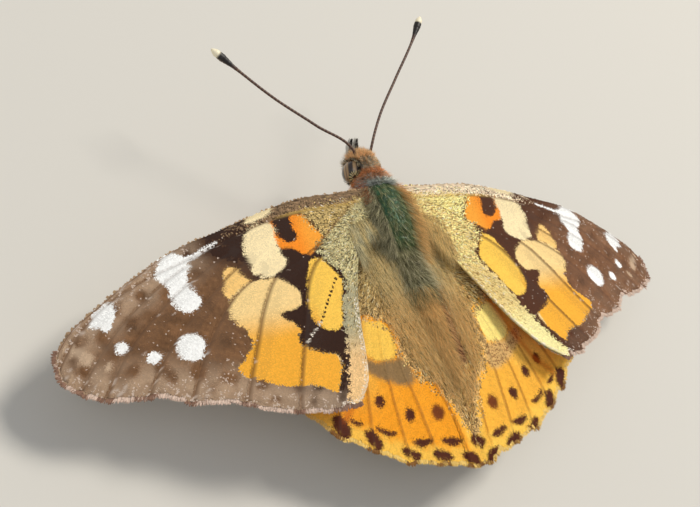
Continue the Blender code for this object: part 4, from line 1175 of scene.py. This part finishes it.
def body_skin(colours, material):
    """One skin for head, collar, thorax and abdomen: rings along the body, with a point at each
    end."""
    turns = np.linspace(0, 2 * np.pi, BODY_SIDES, endpoint=False)
    share, angle = np.meshgrid(np.linspace(0, 1, BODY_RINGS), turns, indexing="ij")
    grid = body_surface(share.ravel(), angle.ravel()).reshape(BODY_RINGS, BODY_SIDES, 3)
    ends = np.stack([grid[0].mean(axis=0) - (0, 0.12, 0), grid[-1].mean(axis=0) + (0, 0.12, 0)])
    points = np.concatenate([grid.reshape(-1, 3), ends])
    quads, tail, nose = closed_rings(BODY_RINGS, BODY_SIDES)
    quads, tail, nose = quads[:, [0, 3, 2, 1]], tail[:, [0, 2, 1]], nose[:, [0, 2, 1]]
    mesh = fill_mesh("body_skin", place(points), quads, tail, nose)
    tint = body_tint(points[:, 0], points[:, 1], colours)
    return new_piece("body_skin", mesh, material, tint, ("head", "collar", "thorax", "abdomen"))


def body_roots(rng, count, low_y, high_y, low_angle, high_angle):
    """Shares and angles of random places on the body's skin between two y and two angles."""
    table = np.linspace(0, 1, 400)
    table_y = smooth_curve(BODY_STATIONS, table)[:, 0]
    share = np.interp(rng.uniform(low_y, high_y, count), table_y, table)
    return share, np.radians(rng.uniform(low_angle, high_angle, count))


# Hair on the body: name, slot, number, y from and to, angle from and to in degrees, length,
# width, how far it stands up, lean outwards and backwards, root colour, tip colour.
BODY_HAIR = (
    ("thorax_down", "body_hair", 8000, -6.0, 0.9, -30, 210, 0.36, 0.030, 0.34, 0.0, 1.0, 0.25,
     (46, 66, 38), (90, 96, 60)),
    ("thorax_gloss", "body_hair", 600, -5.8, 0.8, 20, 165, 1.2, 0.022, 0.65, 0.1, 0.85, 0.0,
     (92, 94, 60), (160, 154, 118)),
    ("thorax_flank_right", "body_hair", 4000, -6.2, 0.9, -5, 56, 1.7, 0.022, 0.45, 0.60, 0.9, 0.15,
     (130, 100, 54), (196, 162, 106)),
    ("thorax_flank_left", "body_hair", 3400, -5.6, 0.9, 124, 186, 1.3, 0.025, 0.50, 0.60, 0.75, 0.48,
     (74, 74, 56), (176, 168, 134)),
    ("wing_root_left", "body_hair", 900, -0.9, 1.1, 132, 180, 1.0, 0.03, 0.5, 0.8, 0.2, 0.10,
     (96, 46, 22), (156, 84, 42)),
    ("wing_root_right", "body_hair", 900, -0.9, 1.1, 0, 48, 1.0, 0.03, 0.5, 0.8, 0.2, 0.10,
     (110, 66, 36), (170, 114, 68)),
    ("breast", "body_hair", 2600, -5.8, 1.4, 200, 340, 1.0, 0.05, 0.8, 0.0, 0.7, 0.2,
     (90, 82, 66), (144, 134, 116)),
    ("waist", "abdomen_hair", 5200, -9.8, -5.3, -5, 185, 1.3, 0.026, 0.30, 0.12, 1.0, 0.40,
     (54, 66, 48), (126, 118, 84)),
    ("waist_arcs", "abdomen_hair", 500, -8.6, -5.4, 15, 170, 1.8, 0.022, 0.60, 0.1, 0.8, 0.0,
     (120, 112, 84), (176, 168, 138)),
    ("abdomen_back", "abdomen_hair", 11500, -16.9, -8.6, 62, 190, 1.15, 0.026, 0.24, 0.02, 1.0, 0.22,
     (172, 132, 76), (226, 190, 126)),
    ("abdomen_slit", "abdomen_hair", 2600, -16.2, -8.6, -20, 64, 0.6, 0.028, 0.20, 0.0, 1.0, 0.35,
     (44, 22, 12), (78, 42, 22)),
    ("slit_strands", "abdomen_hair", 260, -15.5, -8.6, 30, 74, 1.5, 0.022, 0.35, 0.5, 0.8, 0.0,
     (130, 90, 54), (186, 150, 100)),
    ("abdomen_belly", "abdomen_hair", 2200, -16.6, -6.2, 190, 340, 0.7, 0.06, 0.25, 0.0, 1.0, 0.2,
     (106, 92, 70), (156, 142, 116)),
    ("collar_back", "head_hair", 3000, 0.6, 1.9, 10, 170, 0.85, 0.026, 0.80, 0.45, 0.45, 0.35,
     (98, 106, 106), (172, 174, 164)),
    ("collar_ruff", "head_hair", 5200, 1.5, 2.7, -30, 210, 0.80, 0.028, 0.95, 0.40, 0.45, 0.18,
     (120, 72, 42), (192, 136, 90)),
    ("head_crown", "head_hair", 1600, 2.5, 3.7, 52, 128, 0.45, 0.03, 0.8, 0.0, 0.4, 0.4,
     (104, 104, 96), (176, 170, 150)),
    ("head_sides", "head_hair", 2600, 2.5, 4.3, 20, 160, 0.50, 0.026, 0.9, 0.1, 0.1, 0.15,
     (140, 100, 62), (206, 166, 118)),
    ("head_front", "head_hair", 2800, 3.5, 4.45, 10, 170, 0.60, 0.028, 0.8, 0.1, -0.45, 0.15,
     (140, 100, 62), (206, 166, 118)),
    ("face", "head_hair", 1600, 2.6, 4.45, 190, 350, 0.55, 0.05, 0.8, 0.0, -0.5, 0.2,
     (100, 82, 60), (160, 144, 118)),
)


def body_hair(row, seed, material):
    """Hairs of one row of the table. They leave the skin along a mix of its normal, outwards and
    backwards, and droop backwards. Those that would cover an eye are left out."""
    (name, slot, count, low_y, high_y, low_angle, high_angle, length, width, stand, out, back, dark,
     root, tip) = row
    rng = np.random.default_rng(seed)
    share, angle = body_roots(rng, count, low_y, high_y, low_angle, high_angle)
    normal, roots = body_normal(share, angle), body_surface(share, angle)
    outwards = np.stack([np.sign(roots[:, 0]), 0 * share, 0 * share], axis=-1)
    lie = stand * normal + out * outwards - back * np.array([0.0, 1.0, 0.0])
    lie = unit(lie + rng.normal(0, 0.20, (count, 3)))
    bend = rng.normal(0, 0.12, (count, 3)) + (0, -0.2 * np.sign(back), -0.14)
    size_each = length * rng.uniform(0.55, 1.25, count)
    shade = hair_shade(3 * angle, roots[:, 1], rng, dark)[:, None]
    uv = np.stack([share, (angle / (2 * np.pi)) % 1.0], axis=-1) * 0.99
    clear = np.ones(count, bool)
    for out_share in (0.5, 1.0):
        at = roots + out_share * size_each[:, None] * (lie + out_share * bend)
        to_eye = (np.abs(at) * (1, 0, 0) + at * (0, 1, 1) - EYE_CENTRE) / EYE_RADII
        clear &= np.linalg.norm(to_eye - (0.2, 0.0, 0.2), axis=1) > 1.15
    return hair_coat(name, (roots - 0.03 * normal)[clear], lie[clear], bend[clear], size_each[clear], width,
                     (linear(*root) * shade)[clear], (linear(*tip) * shade)[clear], uv[clear], material)


def wing_hair(wing, count, seed, material):
    """Long silky hair over the hindwing's inner part: it lies backwards along the inner edge and
    gathers over the abdomen."""
    rng = np.random.default_rng(seed)
    x, y = rng.uniform(0.2, 5.0, 6 * count), rng.uniform(-20.0, -4.0, 6 * count)
    limit = np.interp(y, (-20.0, -17.0, -14.0, -10.0, -4.0), (0.5, 1.8, 3.8, 4.8, 5.0))
    keep = (signed_distance(x, y, wing.outline, 0.5) < -0.05) & (x < limit * rng.uniform(0.3, 1.0, len(x)))
    if wing.side == "right":
        keep &= (x > 2.1) | (y > -7.5) | (y < -16.0)
    x, y = x[keep][:count], y[keep][:count]
    count = len(x)
    normal = wing.normal(x, y, 1)
    inwards = np.interp(y, (-20.0, -12.0, -6.0), (0.10, 0.16, 0.10)) + rng.normal(0, 0.10, count)
    inwards -= 0.16 * (wing.side == "right") * smoothstep(2.8, 1.4, x)
    plan = np.stack([-wing.sign * inwards, -np.ones(count), np.zeros(count)], axis=-1)
    lie = unit(plan + (0.12 + 0.25 * rng.random(count))[:, None] * normal)
    aside = -wing.sign * rng.uniform(-0.08, 0.12, count)
    bend = np.stack([aside, 0 * x, rng.uniform(-0.32, -0.12, count)], axis=-1)
    length = np.interp(y, (-19.0, -17.0, -10.0, -4.0), (0.5, 1.6, 2.8, 2.5)) * rng.uniform(0.5, 1.2, count)
    front = smoothstep(-12.0, -6.0, y)
    root = lay(tinted(linear(196, 154, 90), count), front, linear(150, 134, 92))
    tip = lay(tinted(linear(248, 216, 150), count), front, linear(222, 202, 150))
    shade = hair_shade(x, y, rng, 0.22)[:, None]
    return hair_coat(f"hindwing_hair_{wing.side}", wing.surface(x, y, 1), lie, bend, length, 0.022,
                     root * shade, tip * shade, wing.bake_place(x, y), material)


def tube_mesh(name, line, radii, sides, oval=1.0):
    """A closed tube: rings of the given radii across a line of points, with a point at each end."""
    line = np.asarray(line, float)
    count = len(line)
    tangent = unit(np.gradient(line, axis=0))
    side = unit(np.cross(tangent, UP + 0.01))
    above = np.cross(side, tangent)
    turn = np.linspace(0, 2 * np.pi, sides, endpoint=False)
    spokes = np.cos(turn)[None, :, None] * side[:, None, :]
    spokes = spokes + oval * np.sin(turn)[None, :, None] * above[:, None, :]
    rings = line[:, None, :] + np.asarray(radii)[:, None, None] * spokes
    ends = np.stack([line[0] - 0.3 * radii[0] * tangent[0], line[-1] + 0.5 * radii[-1] * tangent[-1]])
    points = np.concatenate([rings.reshape(-1, 3), ends])
    quads, first, final = closed_rings(count, sides)
    return fill_mesh(name, place(points), quads, first, final), points, np.repeat(np.arange(count), sides)


def eye_piece(side, material):
    """The domed eye: rings from its rim to its pole, with bars that run from front to back and
    rays round a dark spot behind."""
    sign = SIDE_SIGN[side]
    turns = np.linspace(0, 2 * np.pi, EYE_SIDES, endpoint=False)
    polar, turn = np.meshgrid(np.linspace(1.85, 0.02, EYE_RINGS), turns, indexing="ij")
    x = EYE_CENTRE[0] + EYE_RADII[0] * np.cos(polar)
    y = EYE_CENTRE[1] + EYE_RADII[1] * np.sin(polar) * np.cos(turn)
    z = EYE_CENTRE[2] + EYE_RADII[2] * np.sin(polar) * np.sin(turn)
    rings = np.stack([x, y, z], axis=-1)
    centres = np.stack([rings[0].mean(axis=0), rings[-1].mean(axis=0)])
    points = np.concatenate([rings.reshape(-1, 3), centres])
    across = (points - EYE_CENTRE) / EYE_RADII @ np.array([-0.62, -0.30, 0.72])
    tint = tinted(linear(44, 30, 22), len(points))
    for start, full, fading, end, paint in EYE_BARS:
        bar = smoothstep(start, full, across) * smoothstep(end, fading, across)
        tint = lay(tint, bar, linear(*paint))
    away = (points - EYE_CENTRE) / EYE_RADII - np.array([0.42, -0.82, 0.38])
    radius, ray = np.linalg.norm(away, axis=1), np.arctan2(away[:, 2], away[:, 0])
    rays = smoothstep(-0.1, 0.5, np.cos(11 * ray)) * smoothstep(0.12, 0.22, radius)
    rays = rays * smoothstep(0.62, 0.42, radius)
    tint = lay(tint, smoothstep(0.62, 0.5, radius), linear(30, 24, 20))
    tint = lay(tint, rays, linear(226, 208, 150))
    points = points * (sign, 1, 1)
    quads, back, front = closed_rings(EYE_RINGS, EYE_SIDES)
    if sign < 0:
        quads, back, front = quads[:, ::-1], back[:, ::-1], front[:, ::-1]
    mesh = fill_mesh("eye_dome_" + side, place(points), quads, back, front)
    return new_piece("eye_dome_" + side, mesh, material, tint, ("eye_" + side,))


def eye_ring(side, material):
    """Short white and black hairs round the rear rim of the eye."""
    rng = np.random.default_rng(501)
    sign, count = SIDE_SIGN[side], EYE_BRISTLES
    turn = rng.uniform(0, 2 * np.pi, count)
    polar = rng.uniform(1.45, 1.75, count)
    spoke = np.stack([0 * turn, np.cos(turn), np.sin(turn)], axis=-1)
    radii = np.array(EYE_RADII)
    centre = np.array(EYE_CENTRE)
    roots = centre + np.stack([radii[0] * np.cos(polar), radii[1] * np.sin(polar) * spoke[:, 1],
                               radii[2] * np.sin(polar) * spoke[:, 2]], axis=-1) * 1.02
    lie = unit(0.8 * spoke + np.array([0.75, 0, 0]) + rng.normal(0, 0.2, (count, 3)))
    black = (np.sin(turn * 14) + rng.normal(0, 0.3, count) > 0.2)[:, None]
    tint = np.where(black, linear(46, 38, 32), linear(214, 196, 160)) * rng.uniform(0.8, 1.1, count)[:, None]
    mirror = np.array([sign, 1, 1])
    uv = np.stack([turn / (2 * np.pi), polar - 1.2], axis=-1) * 0.99
    length = rng.uniform(0.14, 0.34, count)
    return hair_coat("eye_ring_" + side, roots * mirror, lie * mirror, 0 * lie, length, 0.035,
                     tint, tint, uv, material)


def antenna_piece(side, sizes, material):
    """A ringed shaft that swells into a flattened club, with pale bands and a cream tip."""
    shares = np.linspace(0, 1, 320)
    line = smooth_curve(ANTENNA_PATHS[side], shares)
    shaft, club = sizes.shaft_radius / MM, sizes.club_radius / MM
    radii = np.interp(shares, (0, 0.03, 0.8, 0.86, 0.93, 0.975, 1.0),
                      (1.5 * shaft, shaft, shaft, 1.4 * shaft, club, 0.9 * club, 0.25 * club))
    joint = np.abs(np.sin(np.pi * 46 * shares))
    radii = radii * (0.92 + 0.10 * joint**0.5)
    mesh, points, ring = tube_mesh("antenna_whip_" + side, line, radii, 16)
    tint = tinted(linear(72, 44, 30), len(shares))
    tint = lay(tint, smoothstep(0.40, 0.15, joint) * (shares < 0.84) * 0.4, linear(176, 140, 106))
    tint = lay(tint, smoothstep(0.84, 0.88, shares), linear(26, 18, 14))
    tint = lay(tint, smoothstep(0.945, 0.96, shares), linear(250, 238, 206))
    each = np.concatenate([tint[ring], tint[:1], tint[-1:]])
    underneath = points[:, 2] < line[:, 2][np.concatenate([ring, [0, -1]])] - 0.02
    each = lay(each, 0.35 * underneath * (each[:, 0] < 0.2), linear(150, 110, 80))
    return new_piece("antenna_whip_" + side, mesh, material, each, ("antenna_" + side,))


def palp_piece(side, material, hair_material):
    """A bent, tapering palp with bristly white and black scales."""
    sign = SIDE_SIGN[side]
    shares = np.linspace(0, 1, 60)
    line = smooth_curve(PALP_PATH, shares) * (sign, 1, 1)
    radii = np.interp(shares, (0, 0.3, 0.7, 1.0), (0.16, 0.22, 0.24, 0.07))
    mesh, points, _ = tube_mesh("palp_core_" + side, line, radii, 16)
    tint = tinted(linear(206, 198, 182), len(points))
    new_piece("palp_core_" + side, mesh, material, tint, ("palp_" + side,))
    rng = np.random.default_rng(601)
    count = PALP_BRISTLES
    share, turn = rng.uniform(0.02, 0.98, count), rng.uniform(0, 2 * np.pi, count)
    middle = smooth_curve(PALP_PATH, share) * (sign, 1, 1)
    ahead = unit(smooth_curve(PALP_PATH, np.minimum(share + 0.02, 1)) * (sign, 1, 1) - middle + 1e-6)
    spoke = spokes_round(ahead, turn)
    roots = middle + 0.8 * np.interp(share, shares, radii)[:, None] * spoke
    lie = unit(ahead + 0.45 * spoke + rng.normal(0, 0.12, (count, 3)))
    black = (spoke[:, 2] > 0.35) & (np.abs(spoke[:, 0]) < 0.75)
    tint = np.where(black[:, None], linear(40, 34, 32), linear(240, 236, 226))
    tint = tint * rng.uniform(0.8, 1.1, count)[:, None]
    uv = np.stack([share, turn / (2 * np.pi)], axis=-1) * 0.99
    length = rng.uniform(0.16, 0.34, count)
    return hair_coat("palp_bristles_" + side, roots, lie, 0 * lie, length, 0.05, tint, tint, uv,
                     hair_material)


def tongue_piece(material):
    """The coiled tongue: a ringed tube on a spiral that tightens by the pitch at each turn."""
    turns = np.linspace(0, TONGUE_TURNS + 0.15, 260)
    radius = TONGUE_OUTER - TONGUE_PITCH * turns
    angle = math.radians(80) - 2 * np.pi * turns
    y, z = TONGUE_CENTRE[0] + radius * np.cos(angle), TONGUE_CENTRE[1] + radius * np.sin(angle)
    line = np.stack([0 * turns, y, z], axis=-1)
    radii = np.interp(turns, (0, 1.25), (0.17, 0.09)) * (1 + 0.05 * np.sin(turns * 300))
    mesh, points, _ = tube_mesh("tongue_coil", line, radii, 14)
    tint = tinted(linear(74, 42, 22), len(points))
    return new_piece("tongue_coil", mesh, material, tint, ("proboscis",))


def leg_piece(pair, side, material, hair_material):
    """A jointed leg: thigh, shin and ringed toes, clothed in small scales."""
    sign = SIDE_SIGN[side]
    stations = np.array(LEG_PATHS[pair])
    shares = np.linspace(0, 1, 150)
    at = smooth_curve(stations, shares)
    line, radii = at[:, :3] * (sign, 1, 1), at[:, 3] * 0.68
    knots = np.concatenate([[0], np.cumsum(np.linalg.norm(np.diff(stations, axis=0), axis=1))])
    knots /= knots[-1]
    for knee in knots[[1, 3] if pair != "front" else [1, 2]]:
        radii = radii * (1 - 0.22 * np.exp(-(((shares - knee) / 0.012) ** 2)))
    toes = smoothstep(knots[5] if pair != "front" else 0.75, 1.0, shares)
    radii = radii * (1 - 0.25 * toes) * (1 + 0.10 * (toes > 0) * np.sin(shares * 2 * np.pi * 26))
    if pair != "front":
        line[:, 2] = np.maximum(line[:, 2], radii)
    mesh, points, ring = tube_mesh(f"leg_limb_{pair}_{side}", line, radii, 14)
    points_tint = tinted(linear(176, 150, 112), len(points))
    lower = smoothstep(0.45, 0.7, np.concatenate([shares[ring], shares[:1], shares[-1:]]))
    points_tint = lay(points_tint, 0.5 * lower, linear(206, 172, 116))
    new_piece(f"leg_limb_{pair}_{side}", mesh, material, points_tint, (f"leg_{pair}_{side}",))
    rng = np.random.default_rng(701)
    count = LEG_SCALES
    share, turn = rng.uniform(0.05, 0.99, count), rng.uniform(0, 2 * np.pi, count)
    middle, further = (
        np.stack([np.interp(at, shares, line[:, axis]) for axis in range(3)], axis=-1)
        for at in (share, share + 0.02)
    )
    ahead = unit(further - middle + 1e-6)
    spoke = spokes_round(ahead, turn)
    roots = middle + 0.9 * np.interp(share, shares, radii)[:, None] * spoke
    lie = unit(ahead + 0.3 * spoke + rng.normal(0, 0.1, (count, 3)))
    length = np.where(rng.random(count) < 0.1, 0.35, 0.2) * rng.uniform(0.8, 1.2, count)
    roots[:, 2] = np.maximum(roots[:, 2], 0.06)
    lie[:, 2] = np.where(roots[:, 2] < 0.5, np.maximum(lie[:, 2], 0.0), lie[:, 2])
    paints = (linear(226, 208, 172), linear(150, 122, 84), linear(92, 70, 48))
    tint = speckle(rng, count, paints, (0.5, 0.35, 0.15))
    uv = np.stack([share, turn / (2 * np.pi)], axis=-1) * 0.99
    hair_coat(f"leg_scales_{pair}_{side}", roots, lie, 0 * lie, length, 0.05, tint, tint, uv,
              hair_material)


def each_wing(sizes):
    """The two forewings, then the two hindwings."""
    return [Wing(pair, side, sizes) for pair in ("fore", "hind") for side in SIDE_SIGN]


class OBJECT_OT_wing_membranes(bpy.types.Operator):
    """Build the four wing membranes with their raised veins"""

    bl_idname = "object.butterfly_wing_membranes"
    bl_label = "Wing membranes"

    def execute(self, context):
        scene = context.scene
        for wing in each_wing(scene.butterfly_sizes):
            wing_skin(wing, scene.butterfly_colours, finish("wing membrane"))
        return {"FINISHED"}


class OBJECT_OT_wing_scales(bpy.types.Operator):
    """Cover both sides of the wings in overlapping scales"""

    bl_idname = "object.butterfly_wing_scales"
    bl_label = "Wing scales"

    def execute(self, context):
        sizes, colours = context.scene.butterfly_sizes, context.scene.butterfly_colours
        spacing = sizes.scale_spacing / MM
        for wing in each_wing(sizes):
            wing_scales(wing, 1, spacing, sizes, colours, finish("wing scale"))
            wing_scales(wing, -1, 1.9 * spacing, sizes, colours, finish("wing scale"))
            wing_fringe(wing, sizes, finish("wing scale"))
            wing_down(wing, finish("wing scale"))
        return {"FINISHED"}


class OBJECT_OT_body_skin(bpy.types.Operator):
    """Build the skin of head, collar, thorax and abdomen"""

    bl_idname = "object.butterfly_body_skin"
    bl_label = "Body skin"

    def execute(self, context):
        body_skin(context.scene.butterfly_colours, finish("cuticle"))
        return {"FINISHED"}


class OBJECT_OT_hair(bpy.types.Operator):
    """Grow the hair on the body and on the wings near it"""

    bl_idname = "object.butterfly_hair"
    bl_label = "Hair"

    def execute(self, context):
        for number, row in enumerate(BODY_HAIR):
            body_hair(row, 400 + number, finish("hair"))
        wings = each_wing(context.scene.butterfly_sizes)
        for wing in wings[:2]:
            root_tuft(wing, finish("hair"))
        for wing in wings[2:]:
            wing_hair(wing, WING_HAIRS, 450, finish("hair"))
        return {"FINISHED"}


class OBJECT_OT_eyes(bpy.types.Operator):
    """Build the eyes and the pale rings round them"""

    bl_idname = "object.butterfly_eyes"
    bl_label = "Eyes"

    def execute(self, context):
        for side in SIDE_SIGN:
            eye_piece(side, finish("compound eye"))
            eye_ring(side, finish("hair"))
        return {"FINISHED"}


class OBJECT_OT_mouthparts(bpy.types.Operator):
    """Build the antennae, the palps and the coiled tongue"""

    bl_idname = "object.butterfly_mouthparts"
    bl_label = "Antennae and mouthparts"

    def execute(self, context):
        for side in SIDE_SIGN:
            antenna_piece(side, context.scene.butterfly_sizes, finish("horn"))
            palp_piece(side, finish("horn"), finish("hair"))
        tongue_piece(finish("horn"))
        return {"FINISHED"}


class OBJECT_OT_legs(bpy.types.Operator):
    """Build the six legs"""

    bl_idname = "object.butterfly_legs"
    bl_label = "Legs"

    def execute(self, context):
        for side in SIDE_SIGN:
            for pair in LEG_PATHS:
                leg_piece(pair, side, finish("horn"), finish("hair"))
        return {"FINISHED"}


def area_light(name, place_mm, target_mm, power, size_mm, paint):
    """A square lamp that faces its target."""
    data = bpy.data.lights.new(name, "AREA")
    data.energy, data.size, data.color = power, size_mm * MM, paint
    lamp = bpy.data.objects.new(name, data)
    start, end = place(place_mm), place(target_mm)
    back = unit(start - end)
    right = unit(np.cross(UP, back) + 1e-9)
    turn = Matrix(np.stack([right, np.cross(back, right), back], axis=1).tolist()).to_4x4()
    lamp.matrix_world = Matrix.Translation(start.tolist()) @ turn
    bpy.context.scene.collection.objects.link(lamp)


class OBJECT_OT_stage(bpy.types.Operator):
    """Set up the pale floor, the soft lamps and the photograph's camera"""

    bl_idname = "object.butterfly_stage"
    bl_label = "Stage"

    def execute(self, context):
        scene = context.scene
        corners = FLOOR_HALF_WIDTH * np.array([(-1, -1, 0), (1, -1, 0), (1, 1, 0), (-1, 1, 0)])
        floor_mesh = fill_mesh("floor", corners, np.array([[0, 1, 2, 3]]))
        floor_finish = bpy.data.materials.new("pale floor")
        floor_finish.use_nodes = True
        shader = floor_finish.node_tree.nodes["Principled BSDF"]
        shader.inputs["Base Color"].default_value = (*linear(208, 204, 196), 1.0)
        shader.inputs["Roughness"].default_value = 0.9
        floor_mesh.materials.append(floor_finish)
        floor = bpy.data.objects.new("floor", floor_mesh)
        scene.collection.objects.link(floor)
        for lamp in LAMPS:
            area_light(*lamp)
        world = bpy.data.worlds.new("room")
        world.use_nodes = True
        world.node_tree.nodes["Background"].inputs["Color"].default_value = ROOM_COLOUR
        world.node_tree.nodes["Background"].inputs["Strength"].default_value = ROOM_STRENGTH
        scene.world = world
        camera_data = bpy.data.cameras.new("photo_camera")
        camera_data.sensor_width = SENSOR_MM
        camera_data.lens = FOCAL_PIXELS / PICTURE_WIDTH * SENSOR_MM
        camera_data.clip_start = CLIP_START
        camera = bpy.data.objects.new("photo_camera", camera_data)
        right, up = unit(np.array(CAMERA_RIGHT)), np.array(CAMERA_UP)
        up = unit(up - right * (up @ right))
        turn = Matrix(np.stack([right, up, np.cross(right, up)], axis=1).tolist()).to_4x4()
        camera.matrix_world = Matrix.Translation(place(CAMERA_PLACE).tolist()) @ turn
        scene.collection.objects.link(camera)
        scene.camera = camera
        scene.view_settings.view_transform = "Standard"
        return {"FINISHED"}


OPERATORS = (
    OBJECT_OT_stage, OBJECT_OT_wing_membranes, OBJECT_OT_wing_scales, OBJECT_OT_body_skin,
    OBJECT_OT_hair, OBJECT_OT_eyes, OBJECT_OT_mouthparts, OBJECT_OT_legs,
)


class VIEW3D_PT_butterfly(bpy.types.Panel):
    """The butterfly's pieces, sizes and colours"""

    bl_label = "Painted lady butterfly"
    bl_space_type = "VIEW_3D"
    bl_region_type = "UI"
    bl_category = "Butterfly"

    def draw(self, context):
        for operator in OPERATORS:
            self.layout.operator(operator.bl_idname)
        for group in (context.scene.butterfly_sizes, context.scene.butterfly_colours):
            box = self.layout.box()
            for name in group.bl_rna.properties.keys():
                if name not in ("rna_type", "name"):
                    box.prop(group, name)


CLASSES = (ButterflyColours, ButterflySizes, *OPERATORS, VIEW3D_PT_butterfly)


def register():
    """Registers the classes and puts the sizes and colours on the scene."""
    for cls in CLASSES:
        bpy.utils.register_class(cls)
    bpy.types.Scene.butterfly_colours = bpy.props.PointerProperty(type=ButterflyColours)
    bpy.types.Scene.butterfly_sizes = bpy.props.PointerProperty(type=ButterflySizes)


def unregister():
    """Takes the sizes, the colours and the classes away again."""
    del bpy.types.Scene.butterfly_sizes
    del bpy.types.Scene.butterfly_colours
    for cls in reversed(CLASSES):
        bpy.utils.unregister_class(cls)


def main():
    """Builds all the pieces."""
    register()
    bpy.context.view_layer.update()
    for operator in OPERATORS:
        getattr(bpy.ops.object, operator.bl_idname.split(".")[1])()
    bpy.context.view_layer.update()


if __name__ == "__main__":
    main()
